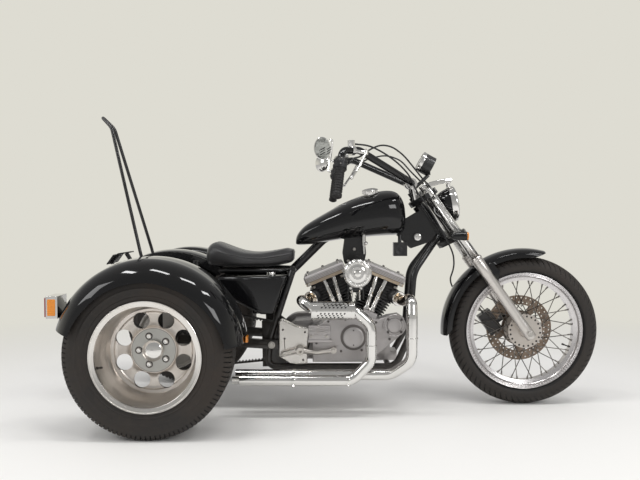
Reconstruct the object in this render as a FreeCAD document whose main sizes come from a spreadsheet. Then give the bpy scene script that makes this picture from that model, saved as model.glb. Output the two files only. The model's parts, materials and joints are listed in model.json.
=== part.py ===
import FreeCAD, Part
import math
import os
import re

import Sketcher

V = FreeCAD.Vector

# Driving sizes in millimetres and degrees.
# Origin: on the ground, midway along and across the machine. +X forward, +Y to its left, +Z up.
SIZES = [
    # stance
    ("wheelbase", 1535),
    ("rear_axle_x", -737),
    ("rear_track", 920),
    ("seat_gap", 0.3),
    # front wheel
    ("front_tyre_radius", 325),
    ("front_tyre_width", 100),
    ("front_rim_radius", 255),
    ("front_rim_width", 74),
    ("rim_wall", 3),
    ("front_bead_radius", 244),
    ("front_well_depth", 21),
    ("spoke_radius", 1.9),
    ("spoke_pairs", 10),
    ("front_flange_radius", 73),
    ("front_flange_gap", 68),
    ("front_barrel_radius", 26),
    ("front_axle_radius", 9.5),
    ("front_brake_radius", 146),
    ("front_brake_inner", 104),
    ("front_brake_offset", 60),
    ("brake_thickness", 5),
    # rear wheels
    ("rear_tyre_radius", 313),
    ("rear_tyre_width", 225),
    ("rear_lip_radius", 208),
    ("rear_bead_radius", 192),
    ("rear_rim_width", 216),
    ("rear_well_depth", 22),
    ("wheel_disc_inset", 148),
    ("wheel_disc_radius", 165),
    ("wheel_disc_wall", 7),
    ("hub_plate_radius", 88),
    ("hole_circle_radius", 123.5),
    ("wheel_hole_radius", 32),
    ("wheel_holes", 8),
    ("lug_circle_radius", 57.15),
    ("lug_radius", 12),
    ("lug_count", 5),
    ("hub_cap_radius", 41),
    ("drum_radius", 80),
    ("drum_depth", 46),
    ("stub_radius", 14),
    ("stub_length", 38),
    # steering
    ("rake_angle", 35.4),
    ("fork_length", 734),
    ("clamp_spacing", 216),
    ("clamp_offset", 60),
    ("clamp_thickness", 24),
    ("fork_half_spacing", 95),
    ("fork_tube_radius", 19.5),
    ("slider_radius", 24.5),
    ("slider_length", 392),
    ("head_tube_radius", 27),
    ("stem_radius", 13),
    ("stem_clearance", 6),
    # frame
    ("frame_tube_radius", 14),
    ("backbone_radius", 19),
    ("rail_height", 186),
    ("rail_half_spacing", 118),
    ("downtube_x", 292),
    ("downtube_half_spacing", 82),
    ("pivot_x", -301),
    ("pivot_height", 286),
    ("seat_post_x", -214),
    ("seat_post_height", 596),
    # engine
    ("crank_x", 52),
    ("crank_height", 268),
    ("cylinder_angle", 22.5),
    ("barrel_start", 150),
    ("barrel_radius", 50),
    ("fin_count", 11),
    ("fin_pitch", 12.5),
    ("fin_thickness", 4.5),
    ("fin_half_width", 76),
    ("head_height", 82),
    ("rocker_length", 184),
    ("rocker_width", 200),
    ("rocker_height", 44),
    ("case_half_width", 88),
    ("gearcase_depth", 62),
    ("primary_depth", 74),
    ("pushrod_radius", 10),
    ("pushrod_offset", 90),
    ("air_cleaner_radius", 57),
    ("air_cleaner_depth", 46),
    ("air_cleaner_face", 262),
    # exhaust
    ("pipe_radius", 22.5),
    ("rear_pipe_offset", 250),
    ("front_pipe_offset", 197),
    ("pipe_end_x", -425),
    # belt
    ("belt_offset", 87),
    ("belt_width", 28.6),
    ("belt_thickness", 4),
    ("rear_pulley_radius", 143),
    ("front_pulley_radius", 67),
    ("belt_pitch", 14),
    # rear axle
    ("axle_tube_radius", 32),
    ("axle_tube_end", 362),
    ("carrier_radius", 78),
    ("swingarm_half_spacing", 128),
    # bodywork
    ("fender_radius", 362),
    ("fender_wall", 4),
    ("fender_outer", 601),
    ("fender_inner", 337),
    ("skirt_radius", 276),
    ("centre_fender_radius", 368),
    ("centre_fender_half_width", 84),
    ("sissy_rod_radius", 7),
    ("sissy_height", 1273),
    # controls
    ("bar_radius", 15),
    ("grip_radius", 18.5),
    ("grip_length", 116),
    ("cable_radius", 3.5),
    ("headlamp_radius", 73),
    ("headlamp_height", 881),
    ("speedo_radius", 44),
    ("speedo_depth", 55),
    ("footrest_bore_radius", 6.5),
    ("plate_width", 168),
    ("plate_hole_spacing", 146),
    ("plate_hole_radius", 3.5),
]

doc = FreeCAD.newDocument("motorized_trike")
sheet = doc.addObject("Spreadsheet::Sheet", "Sizes")
for row, (alias, value) in enumerate(SIZES, start=1):
    sheet.set(f"A{row}", alias)
    sheet.set(f"B{row}", str(value))
    sheet.setAlias(f"B{row}", alias)
doc.recompute()

ALIASES = [alias for alias, value in SIZES]
NODES = []


def mm(alias):
    """Read one driving size from the sheet."""
    return float(sheet.get(alias))


def bound(expression):
    """Write an expression of size names so that it reads the sheet."""
    def prefix(match):
        word = match.group(0)
        return "Sizes." + word if word in ALIASES else word
    return re.sub(r"[a-z][a-z_0-9]*", prefix, str(expression))


def number(expression):
    """Work out an expression of size names, or pass a plain number through."""
    if isinstance(expression, (int, float)):
        return float(expression)
    return float(sheet.evalExpression(bound(expression)))


def bind(item, prop, expression):
    """Tie one property to the sheet."""
    item.setExpression(prop, bound(expression))


# Sketched bodies

def plane_of(body, role):
    for feature in body.Origin.OriginFeatures:
        if feature.Role == role:
            return feature
    raise ValueError(role)


def sketch_on(body, role, name):
    sketch = body.newObject("Sketcher::SketchObject", name)
    sketch.AttachmentSupport = (plane_of(body, role), [""])
    sketch.MapMode = "FlatFace"
    return sketch


def lock(sketch, line, end, axis, expression):
    """Hold one coordinate of a point of the sketch at a size."""
    index = sketch.addConstraint(Sketcher.Constraint(axis, -1, 1, line, end, number(expression)))
    if not isinstance(expression, (int, float)):
        sketch.setExpression(f"Constraints[{index}]", bound(expression))


def draw(sketch, corners):
    """Close an outline through corners (x, y), where a third value bends the run to the next
    corner to that radius: its centre lies to the left of the run, or to the right if negative."""
    points = [V(number(corner[0]), number(corner[1]), 0) for corner in corners]
    count = len(points)
    pieces = []
    for i, corner in enumerate(corners):
        start = points[i]
        end = points[(i + 1) % count]
        if len(corner) == 2:
            pieces.append((sketch.addGeometry(Part.LineSegment(start, end), False), 1, 2, None))
            continue
        radius = number(corner[2])
        chord = end - start
        lift = math.sqrt(max(radius * radius - chord.Length ** 2 / 4, 0))
        side = V(-chord.y, chord.x, 0).normalize()
        centre = start + chord * 0.5 + side * math.copysign(lift, radius)
        first = math.atan2(start.y - centre.y, start.x - centre.x)
        last = math.atan2(end.y - centre.y, end.x - centre.x)
        circle = Part.Circle(centre, V(0, 0, 1), abs(radius))
        if radius > 0:
            arc = sketch.addGeometry(Part.ArcOfCircle(circle, first, last), False)
            pieces.append((arc, 1, 2, corner[2]))
        else:
            arc = sketch.addGeometry(Part.ArcOfCircle(circle, last, first), False)
            pieces.append((arc, 2, 1, corner[2]))
    for i, (piece, near, far, bend) in enumerate(pieces):
        after, after_near = pieces[(i + 1) % count][:2]
        sketch.addConstraint(Sketcher.Constraint("Coincident", piece, far, after, after_near))
    for (piece, near, far, bend), corner in zip(pieces, corners):
        lock(sketch, piece, near, "DistanceX", corner[0])
        lock(sketch, piece, near, "DistanceY", corner[1])
        if bend is not None:
            radius = abs(number(bend))
            index = sketch.addConstraint(Sketcher.Constraint("Radius", piece, radius))
            if not isinstance(bend, (int, float)):
                sketch.setExpression(f"Constraints[{index}]", bound(f"abs({bend})"))


def circle_in(sketch, x, y, radius):
    """Add a circle whose centre and radius follow the sheet."""
    ring = sketch.addGeometry(Part.Circle(V(number(x), number(y), 0), V(0, 0, 1), number(radius)), False)
    lock(sketch, ring, 3, "DistanceX", x)
    lock(sketch, ring, 3, "DistanceY", y)
    index = sketch.addConstraint(Sketcher.Constraint("Radius", ring, number(radius)))
    if not isinstance(radius, (int, float)):
        sketch.setExpression(f"Constraints[{index}]", bound(radius))


def node(item, label):
    """Give a finished sub-part its own name and keep it for the files."""
    item.Label = label
    NODES.append(item)
    return item


def turned(name, outline, place=None, angle=360.0, start=0.0):
    """Revolve an outline of (radius, along) corners about the local Y axis."""
    body = doc.addObject("PartDesign::Body", name)
    sketch = sketch_on(body, "XY_Plane", name + "_outline")
    draw(sketch, outline)
    turn = body.newObject("PartDesign::Revolution", name + "_turn")
    turn.Profile = sketch
    turn.ReferenceAxis = (sketch, ["V_Axis"])
    turn.Angle = angle
    body.Tip = turn
    rotation = FreeCAD.Rotation(V(0, 1, 0), start)
    body.Placement = (place or FreeCAD.Placement()).multiply(FreeCAD.Placement(V(0, 0, 0), rotation))
    return body


def padded(name, role, outline, length, place=None, holes=()):
    """Pad an outline to a length, centred on its plane, with round holes left through it."""
    body = doc.addObject("PartDesign::Body", name)
    sketch = sketch_on(body, role, name + "_outline")
    draw(sketch, outline)
    for hole in holes:
        circle_in(sketch, *hole)
    pad = body.newObject("PartDesign::Pad", name + "_pad")
    pad.Profile = sketch
    pad.Midplane = True
    pad.Length = number(length)
    if not isinstance(length, (int, float)):
        bind(pad, "Length", length)
    body.Tip = pad
    if place:
        body.Placement = place
    return body


# Primitives and booleans

def rod(name, start, end, radius):
    """A round bar between two points."""
    bar = doc.addObject("Part::Cylinder", name)
    bar.Radius = number(radius)
    if not isinstance(radius, (int, float)):
        bind(bar, "Radius", radius)
    run = end - start
    bar.Height = run.Length
    bar.Placement = FreeCAD.Placement(start, FreeCAD.Rotation(V(0, 0, 1), run))
    return bar


def block(name, length, width, height, centre, rotation=None):
    """A box centred on a point."""
    box = doc.addObject("Part::Box", name)
    for prop, value in (("Length", length), ("Width", width), ("Height", height)):
        setattr(box, prop, number(value))
        if not isinstance(value, (int, float)):
            bind(box, prop, value)
    turn = rotation or FreeCAD.Rotation()
    half = V(number(length) / 2, number(width) / 2, number(height) / 2)
    box.Placement = FreeCAD.Placement(centre - turn.multVec(half), turn)
    return box


def fused(name, items):
    joined = doc.addObject("Part::MultiFuse", name)
    joined.Shapes = items
    joined.Refine = True
    return joined


def cut(name, base, tool):
    left = doc.addObject("Part::Cut", name)
    left.Base = base
    left.Tool = tool
    return left


def together(name, items):
    """Like pieces that don't touch share one compound."""
    group = doc.addObject("Part::Compound", name)
    group.Links = items
    return group


def rounded(name, base, radius, chooser):
    """Fillet the edges that the chooser picks."""
    doc.recompute()
    soft = doc.addObject("Part::Fillet", name)
    soft.Base = base
    picked = [i + 1 for i, edge in enumerate(base.Shape.Edges) if chooser(edge)]
    soft.Edges = [(i, radius, radius) for i in picked]
    return soft


def shaped(name, shape):
    """Hold a shape that only code can make."""
    item = doc.addObject("Part::Feature", name)
    item.Shape = shape
    return item


# Tubes along straight runs joined by tangent arcs

def route(points, radii):
    """Straight runs through the points, with an arc of the given radius at each inner point."""
    edges = []
    here = points[0]
    for i in range(1, len(points) - 1):
        corner = points[i]
        back = (points[i - 1] - corner).normalize()
        ahead = (points[i + 1] - corner).normalize()
        half = math.acos(max(-1.0, min(1.0, back.dot(ahead)))) / 2
        radius = radii[i - 1] if isinstance(radii, (list, tuple)) else radii
        reach = radius / math.tan(half)
        shorter = min((points[i - 1] - corner).Length, (points[i + 1] - corner).Length)
        if reach > 0.48 * shorter:
            reach = 0.48 * shorter
            radius = reach * math.tan(half)
        first = corner + back * reach
        last = corner + ahead * reach
        middle = (back + ahead).normalize()
        centre = corner + middle * (radius / math.sin(half))
        mid = centre - middle * radius
        edges.append(Part.LineSegment(here, first).toShape())
        edges.append(Part.Arc(first, mid, last).toShape())
        here = last
    edges.append(Part.LineSegment(here, points[-1]).toShape())
    return Part.Wire(edges)


def tube(name, points, radius, bends):
    """Sweep a circle along a route."""
    wire = route(points, bends)
    spine = shaped(name + "_route", wire)
    ring = doc.addObject("Part::Circle", name + "_ring")
    ring.Radius = number(radius)
    if not isinstance(radius, (int, float)):
        bind(ring, "Radius", radius)
    ring.Placement = FreeCAD.Placement(points[0], FreeCAD.Rotation(V(0, 0, 1), points[1] - points[0]))
    sweep = doc.addObject("Part::Sweep", name)
    sweep.Sections = [ring]
    sweep.Spine = (spine, [f"Edge{i + 1}" for i in range(len(wire.Edges))])
    sweep.Solid = True
    sweep.Frenet = True
    return sweep


def flip(point):
    return V(point.x, -point.y, point.z)


# Places

front_x = mm("rear_axle_x") + mm("wheelbase")
rear_x = mm("rear_axle_x")
front_z = mm("front_tyre_radius")
rear_z = mm("rear_tyre_radius")
gap = mm("seat_gap")
rake = math.radians(mm("rake_angle"))
half_track = mm("rear_track") / 2
FRONT_AXLE = V(front_x, 0, front_z)
REAR_AXLE = V(rear_x, 0, rear_z)
AXIS_Y = V(0, 1, 0)
fork_turn = FreeCAD.Rotation(AXIS_Y, -mm("rake_angle"))
UP_FORK = V(-math.sin(rake), 0, math.cos(rake))
AHEAD = V(math.cos(rake), 0, math.sin(rake))


def on_fork(along, ahead=0.0, across=0.0):
    """A point by its distance up the fork from the axle, ahead of the fork line and across."""
    return FRONT_AXLE + UP_FORK * along + AHEAD * ahead + V(0, across, 0)


def on_head(down, back=0.0, across=0.0):
    """A point by its distance below the upper clamp along the steering axis, and behind it."""
    return on_fork(mm("fork_length") - down, -mm("clamp_offset") - back, across)


def bow(half, rise):
    """The radius of an arc over a chord, by half the chord and its rise."""
    return f"(({half})^2 + ({rise})^2) / (2 * ({rise}))"


# Front wheel

front_spin = FreeCAD.Placement(FRONT_AXLE, FreeCAD.Rotation())
front_half = "front_tyre_width / 2"
front_seat = "(front_rim_width / 2 - rim_wall - seat_gap)"
node(turned("front_tyre_body", [
    ("front_bead_radius", f"-{front_seat}"),
    ("front_rim_radius + 2", f"-{front_seat}", 60),
    ("front_tyre_radius - 26", f"-({front_half} - 3)", bow(f"{front_half} - 3", 26)),
    ("front_tyre_radius - 26", f"{front_half} - 3", 60),
    ("front_rim_radius + 2", front_seat),
    ("front_bead_radius", front_seat),
], front_spin), "front_tyre")

rim_edge = "front_rim_width / 2"
rim_floor = "front_bead_radius - seat_gap"
rim_well = "front_bead_radius - front_well_depth"
node(turned("front_rim_body", [
    (rim_floor, f"-({rim_edge} - rim_wall)"),
    (rim_floor, f"-({rim_edge} - 16)"),
    (rim_well, f"-({rim_edge} - 24)"),
    (rim_well, f"{rim_edge} - 24"),
    (rim_floor, f"{rim_edge} - 16"),
    (rim_floor, f"{rim_edge} - rim_wall"),
    ("front_rim_radius", f"{rim_edge} - rim_wall"),
    ("front_rim_radius", rim_edge),
    (f"{rim_floor} - rim_wall", rim_edge),
    (f"{rim_floor} - rim_wall", f"{rim_edge} - 13"),
    (f"{rim_well} - rim_wall", f"{rim_edge} - 21"),
    (f"{rim_well} - rim_wall", f"-({rim_edge} - 21)"),
    (f"{rim_floor} - rim_wall", f"-({rim_edge} - 13)"),
    (f"{rim_floor} - rim_wall", f"-{rim_edge}"),
    ("front_rim_radius", f"-{rim_edge}"),
    ("front_rim_radius", f"-({rim_edge} - rim_wall)"),
], front_spin), "front_rim")

flange = "front_flange_gap / 2"
node(turned("front_hub_body", [
    ("front_axle_radius + 0.8", f"-({flange} + 14)"),
    ("front_barrel_radius - 4", f"-({flange} + 14)"),
    ("front_barrel_radius", f"-({flange} + 10)"),
    ("front_barrel_radius + 4", f"-({flange} + 3)"),
    ("front_flange_radius", f"-({flange} + 3)"),
    ("front_flange_radius", f"-({flange} - 3)"),
    ("front_barrel_radius + 10", f"-({flange} - 3)", -14),
    ("front_barrel_radius", f"-({flange} - 14)"),
    ("front_barrel_radius", f"{flange} - 14", -14),
    ("front_barrel_radius + 10", f"{flange} - 3"),
    ("front_flange_radius", f"{flange} - 3"),
    ("front_flange_radius", f"{flange} + 3"),
    ("front_barrel_radius + 14", f"{flange} + 3"),
    ("front_barrel_radius + 14", "front_brake_offset - brake_thickness / 2 - seat_gap"),
    ("front_axle_radius + 0.8", "front_brake_offset - brake_thickness / 2 - seat_gap"),
], front_spin), "front_hub")

carrier_circle = (number("front_brake_inner") + number("front_barrel_radius + 14")) / 2
brake = turned("front_brake_disc_body", [
    ("front_axle_radius + 5", "front_brake_offset - brake_thickness / 2"),
    ("front_brake_radius", "front_brake_offset - brake_thickness / 2"),
    ("front_brake_radius", "front_brake_offset + brake_thickness / 2"),
    ("front_axle_radius + 5", "front_brake_offset + brake_thickness / 2"),
])
windows = []
for turn in range(5):
    angle = math.radians(72 * turn)
    middle = V(carrier_circle * math.cos(angle), mm("front_brake_offset"), carrier_circle * math.sin(angle))
    windows.append(rod(f"brake_window_{turn}", middle - AXIS_Y * 10, middle + AXIS_Y * 10, 22))
brake_disc = cut("front_brake_disc_cut", brake, fused("brake_windows", windows))
brake_disc.Placement = front_spin
node(brake_disc, "front_brake_disc")


def spoke(hub_point, rim_point):
    """One spoke with its nipple at the rim end."""
    run = rim_point - hub_point
    thin = Part.makeCylinder(mm("spoke_radius"), run.Length - 14, hub_point, run)
    nipple = Part.makeCylinder(mm("spoke_radius") + 1.2, 14, rim_point - run.normalize() * 14, run)
    return thin.fuse(nipple)


spokes = []
rim_inside = number(f"{rim_well} - rim_wall - 1.1")
for side in (-1, 1):
    for pair in range(int(mm("spoke_pairs"))):
        for lean in (-1, 1):
            hub_angle = 360 * (pair + 0.25 * (side + 1)) / mm("spoke_pairs") + lean * 4
            rim_angle = hub_angle + lean * 44
            outward = mm("spoke_radius") + 5.6 if lean > 0 else -mm("spoke_radius") - 3.2
            hub_y = side * (number(flange) + outward)
            rim_y = side * (8 if lean > 0 else 3.4)
            hub_reach = mm("front_flange_radius") - 6
            a = math.radians(hub_angle)
            b = math.radians(rim_angle)
            spokes.append(spoke(
                V(hub_reach * math.cos(a), hub_y, hub_reach * math.sin(a)),
                V(rim_inside * math.cos(b), rim_y, rim_inside * math.sin(b))))
laced = shaped("front_spokes_set", Part.makeCompound(spokes))
laced.Placement = front_spin
node(laced, "front_spokes")


# Rear wheels: the outline runs along Y, whose outer side is positive before the wheel is placed

rear_half = "rear_tyre_width / 2"
rear_seat = "(rear_rim_width / 2 - rim_wall - seat_gap)"
rear_edge = "rear_rim_width / 2"
rear_floor = "rear_bead_radius - seat_gap"
rear_well = "rear_bead_radius - rear_well_depth"
disc_outer = "(rear_rim_width / 2 - wheel_disc_inset)"


def rear_wheel(side, word):
    """Tyre, deep-dish wheel and hub of one side."""
    turn = FreeCAD.Rotation() if side > 0 else FreeCAD.Rotation(V(0, 0, 1), 180)
    place = FreeCAD.Placement(REAR_AXLE + AXIS_Y * (side * half_track), turn)
    node(turned(word + "_tyre_body", [
        ("rear_bead_radius", f"-{rear_seat}"),
        ("rear_lip_radius + 2", f"-{rear_seat}", 70),
        ("rear_tyre_radius - 52", f"-{rear_half}", 70),
        ("rear_tyre_radius - 10", f"-({rear_half} - 12)", 30),
        ("rear_tyre_radius - 1", f"-({rear_half} - 28)", bow(f"{rear_half} - 28", 1)),
        ("rear_tyre_radius - 1", f"{rear_half} - 28", 30),
        ("rear_tyre_radius - 10", f"{rear_half} - 12", 70),
        ("rear_tyre_radius - 52", rear_half, 70),
        ("rear_lip_radius + 2", rear_seat),
        ("rear_bead_radius", rear_seat),
    ], place), word + "_tyre")
    wheel = turned(word + "_wheel_body", [
        (rear_floor, f"-({rear_edge} - rim_wall)"),
        (rear_floor, f"-({rear_edge} - 24)"),
        (rear_well, f"-({rear_edge} - 36)"),
        (rear_well, "0"),
        (rear_floor, f"{rear_edge} - 70"),
        (rear_floor, f"{rear_edge} - rim_wall"),
        ("rear_lip_radius", f"{rear_edge} - rim_wall"),
        ("rear_lip_radius", rear_edge),
        (f"{rear_floor} - rim_wall", rear_edge),
        (f"{rear_floor} - rim_wall - 1", f"{rear_edge} - 12"),
        (f"{rear_floor} - rim_wall - 1", f"{rear_edge} - 66"),
        (f"{rear_well} - rim_wall - 1", "4"),
        (f"{rear_well} - rim_wall - 1", f"{disc_outer} + 4"),
        ("wheel_disc_radius - 12", f"{disc_outer} + 4", -16),
        ("wheel_disc_radius - 26", f"{disc_outer} - 6"),
        ("hub_plate_radius + 8", f"{disc_outer} - 6"),
        ("hub_plate_radius", disc_outer),
        ("hub_cap_radius - 6", disc_outer),
        ("hub_cap_radius - 6", f"{disc_outer} - wheel_disc_wall"),
        ("hub_plate_radius", f"{disc_outer} - wheel_disc_wall"),
        ("hub_plate_radius + 8", f"{disc_outer} - wheel_disc_wall - 6"),
        ("wheel_disc_radius - 18", f"{disc_outer} - wheel_disc_wall - 6"),
        (f"{rear_well} - rim_wall - 1", f"{disc_outer} - wheel_disc_wall - 2"),
        (f"{rear_well} - rim_wall - 1", f"-({rear_edge} - 32)"),
        (f"{rear_floor} - rim_wall - 1", f"-({rear_edge} - 20)"),
        (f"{rear_floor} - rim_wall - 1", f"-({rear_edge})"),
        ("rear_lip_radius", f"-{rear_edge}"),
        ("rear_lip_radius", f"-({rear_edge} - rim_wall)"),
    ])
    hole_middle = number(disc_outer)
    holes = []
    for turn_step in range(int(mm("wheel_holes"))):
        angle = 2 * math.pi * (turn_step + 0.5) / mm("wheel_holes")
        reach = mm("hole_circle_radius")
        spot = V(reach * math.cos(angle), hole_middle, reach * math.sin(angle))
        through = AXIS_Y * 40
        holes.append(rod(f"{word}_hole_{turn_step}", spot - through, spot + through, "wheel_hole_radius"))
    pierced = cut(word + "_wheel_cut", wheel, fused(word + "_holes", holes))
    pierced.Placement = place
    node(pierced, word + "_wheel")
    hub = turned(word + "_hub_body", [
        ("0", f"{disc_outer} - wheel_disc_wall - drum_depth + stub_length + 1"),
        ("stub_radius + 0.5", f"{disc_outer} - wheel_disc_wall - drum_depth + stub_length + 1"),
        ("stub_radius + 0.5", f"{disc_outer} - wheel_disc_wall - drum_depth"),
        ("drum_radius - 8", f"{disc_outer} - wheel_disc_wall - drum_depth"),
        ("drum_radius", f"{disc_outer} - wheel_disc_wall - drum_depth + 6"),
        ("drum_radius", f"{disc_outer} - wheel_disc_wall - seat_gap"),
        ("hub_cap_radius - 8", f"{disc_outer} - wheel_disc_wall - seat_gap"),
        ("hub_cap_radius - 8", f"{disc_outer} + seat_gap"),
        ("hub_cap_radius", f"{disc_outer} + seat_gap"),
        ("hub_cap_radius", f"{disc_outer} + 16"),
        ("hub_cap_radius - 5", f"{disc_outer} + 19", 58),
        (4, f"{disc_outer} + 30"),
        ("0", f"{disc_outer} + 30"),
    ])
    lugs = [hub]
    for turn_step in range(int(mm("lug_count"))):
        angle = 2 * math.pi * turn_step / mm("lug_count") + math.pi
        reach = mm("lug_circle_radius")
        foot = V(reach * math.cos(angle), hole_middle + gap, reach * math.sin(angle))
        lugs.append(rod(f"{word}_lug_{turn_step}", foot, foot + AXIS_Y * 20, "lug_radius"))
    hub_set = together(word + "_hub_set", lugs)
    hub_set.Placement = place
    node(hub_set, word + "_hub")


rear_wheel(-1, "right")
rear_wheel(1, "left")


# Frame

def pair_of(name, make):
    """Build a piece on the right and on the left, and join both."""
    return [make(name + "_right", -1), make(name + "_left", 1)]


rail_z = mm("rail_height")
pivot = V(mm("pivot_x"), 0, mm("pivot_height"))
post_top = V(mm("seat_post_x"), 0, mm("seat_post_height"))
strut_y = mm("centre_fender_half_width") + 12


def cradle(name, side):
    """Downtube, lower rail and seat post of one side in one run."""
    top_y = side * 24
    down_y = side * mm("downtube_half_spacing")
    rail_y = side * mm("rail_half_spacing")
    points = [
        on_head(176, 6, top_y),
        V(mm("downtube_x") + 14, down_y, rail_z + 400),
        V(mm("downtube_x") - 6, down_y, rail_z + 120),
        V(mm("downtube_x") - 66, rail_y, rail_z),
        V(pivot.x - 20, rail_y, rail_z),
        V(pivot.x - 6, rail_y, pivot.z + 30),
        V(post_top.x, rail_y - side * 4, post_top.z),
    ]
    return tube(name, points, "frame_tube_radius", [120, 90, 60, 34, 120])


frame_parts = pair_of("cradle", cradle)
frame_parts.append(rod("head_tube", on_head(18), on_head(mm("clamp_spacing") - 18), "head_tube_radius"))
frame_parts.append(tube("backbone", [
    on_head(94, 8), V(-70, 0, 736), V(post_top.x - 4, 0, post_top.z - 6),
], "backbone_radius", [90]))
frame_parts.append(rod("seat_cross", V(post_top.x, -mm("rail_half_spacing"), post_top.z),
                       V(post_top.x, mm("rail_half_spacing"), post_top.z), "frame_tube_radius"))
for word, x, z in (("front_cross", mm("downtube_x") - 96, rail_z), ("rear_cross", pivot.x + 60, rail_z)):
    frame_parts.append(rod(word, V(x, -mm("rail_half_spacing"), z), V(x, mm("rail_half_spacing"), z), 12))


def gusset(name, side):
    """A pressed plate that ties the head tube to the backbone and the downtube."""
    place = FreeCAD.Placement(V(0, side * 24, 0), FreeCAD.Rotation())
    top = on_head(40)
    low = on_head(mm("clamp_spacing") - 24)
    return padded(name, "XZ_Plane", [
        (top.x, top.z), (low.x, low.z), (mm("downtube_x") + 8, rail_z + 500),
        (mm("downtube_x") - 60, 752), (mm("downtube_x") - 44, 796),
    ], 6, place)


frame_parts += pair_of("neck_gusset", gusset)


def pivot_plate(name, side):
    place = FreeCAD.Placement(V(0, side * (mm("rail_half_spacing") - 2), 0), FreeCAD.Rotation())
    return padded(name, "XZ_Plane", [
        (pivot.x - 40, rail_z), (pivot.x + 62, rail_z), (pivot.x + 48, pivot.z + 70),
        (pivot.x + 20, pivot.z + 92), (pivot.x - 44, pivot.z + 96),
    ], 8, place, holes=[(pivot.x, pivot.z, 10)])


frame_parts += pair_of("pivot_plate", pivot_plate)


strut_middle = mm("centre_fender_radius") - 23
RAIL_MEETS_STRUT = 54.5
rail_foot = V(rear_x + strut_middle * math.cos(math.radians(RAIL_MEETS_STRUT)) + 7, 0,
              rear_z + strut_middle * math.sin(math.radians(RAIL_MEETS_STRUT)))
rail_bend = V(post_top.x - 60, 0, post_top.z - 2)


def rail_level(x):
    """Height of the seat rails' centre line at a place along the machine."""
    share = max(rail_bend.x - x, 0) / (rail_bend.x - rail_foot.x)
    return rail_bend.z + (rail_foot.z - rail_bend.z) * share


def seat_rail(name, side):
    outer = AXIS_Y * side * (strut_y + 2)
    return tube(name, [V(post_top.x, side * 60, rail_bend.z), rail_bend + outer, rail_foot + outer], 10, [40])


def strut(name, side):
    """The curved flat bar along the centre fender that carries the sissy bar."""
    outer = "centre_fender_radius - 6"
    low = side * strut_y - 4
    high = side * strut_y + 4
    return turned(name, [
        (f"{outer} - 34", low), (outer, low), (outer, high), (f"{outer} - 34", high),
    ], FreeCAD.Placement(REAR_AXLE, FreeCAD.Rotation()), 68, -120)


shock_y = strut_y + 40
shock_top = V(rear_x + 118, 0, rear_z + 314)


def strut_boss(name, side):
    """Spacers between strut and centre fender, and the upper shock stud."""
    spots = []
    for step, angle in enumerate((62, 90, 112)):
        a = math.radians(angle)
        spot = V(rear_x + strut_middle * math.cos(a), 0, rear_z + strut_middle * math.sin(a))
        inner = mm("centre_fender_half_width") + gap
        spots.append(rod(f"{name}_{step}", spot + AXIS_Y * side * inner, spot + AXIS_Y * side * strut_y, 9))
    spots.append(rod(name + "_stud", shock_top + AXIS_Y * side * strut_y,
                     shock_top + AXIS_Y * side * (shock_y - 14 - gap), 8))
    return fused(name, spots)


def tank_mount(name, side):
    return rod(name, V(180, 0, 794), V(180, side * 33.7, 794), 9)


frame_parts += pair_of("seat_rail", seat_rail)
frame_parts += pair_of("strut", strut)
frame_parts += pair_of("strut_boss", strut_boss)
frame_parts += pair_of("tank_mount", tank_mount)
shelf_z = 413.4
frame_parts.append(block("battery_shelf", 110, 212, 6, V(-322, 0, shelf_z)))
frame_bores = [
    rod("steering_bore", on_head(-10), on_head(mm("clamp_spacing") + 10), "stem_radius + stem_clearance"),
    rod("pivot_bore", pivot - AXIS_Y * 200, pivot + AXIS_Y * 200, 9 + gap),
]
frame_whole = fused("main_frame_fuse", frame_parts)
node(cut("main_frame_cut", frame_whole, fused("frame_bores", frame_bores)), "main_frame")


# Swingarm, rear axle and shock absorbers

arm_y = mm("swingarm_half_spacing") + 16


def arm(name, side):
    run = (pivot - REAR_AXLE).normalize()
    start = REAR_AXLE + run * (mm("axle_tube_radius") + 12 + gap)
    end = pivot + run * 26
    middle = (start + end) * 0.5
    slope = FreeCAD.Rotation(V(1, 0, 0), run)
    return block(name, (end - start).Length, 22, 38, V(middle.x, side * arm_y, middle.z), slope)


arms = pair_of("arm", arm)
arms.append(rod("pivot_bolt", V(pivot.x, -arm_y - 16, pivot.z), V(pivot.x, arm_y + 16, pivot.z), 9))
for side in (-1, 1):
    arms.append(rod(f"pivot_cap_{side}", V(pivot.x, side * (arm_y - 10), pivot.z),
                    V(pivot.x, side * (arm_y + 20), pivot.z), 18))
node(fused("swingarm_fuse", arms), "swingarm")

axle_parts = [rod("axle_tube", REAR_AXLE - AXIS_Y * mm("axle_tube_end"),
                  REAR_AXLE + AXIS_Y * mm("axle_tube_end"), "axle_tube_radius")]
axle_parts.append(turned("carrier", [
    ("0", "-66"), ("carrier_radius - 26", "-66", 40), ("carrier_radius", "-20"),
    ("carrier_radius", "60"), ("carrier_radius - 26", "96"), ("0", "96"),
], FreeCAD.Placement(REAR_AXLE, FreeCAD.Rotation())))


def axle_flange(name, side):
    end = REAR_AXLE + AXIS_Y * side * mm("axle_tube_end")
    return rod(name, end - AXIS_Y * side * 14, end, "axle_tube_radius + 20")


def arm_clamp(name, side):
    return rod(name, REAR_AXLE + AXIS_Y * side * (arm_y - 20), REAR_AXLE + AXIS_Y * side * (arm_y + 20),
               "axle_tube_radius + 12")


def stub(name, side):
    end = REAR_AXLE + AXIS_Y * side * mm("axle_tube_end")
    return rod(name, end - AXIS_Y * side * 10, end + AXIS_Y * side * mm("stub_length"), "stub_radius")


axle_parts += pair_of("axle_flange", axle_flange)
axle_parts += pair_of("stub", stub)
axle_parts += pair_of("arm_clamp", arm_clamp)
housing = fused("axle_housing_fuse", axle_parts)


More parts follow.
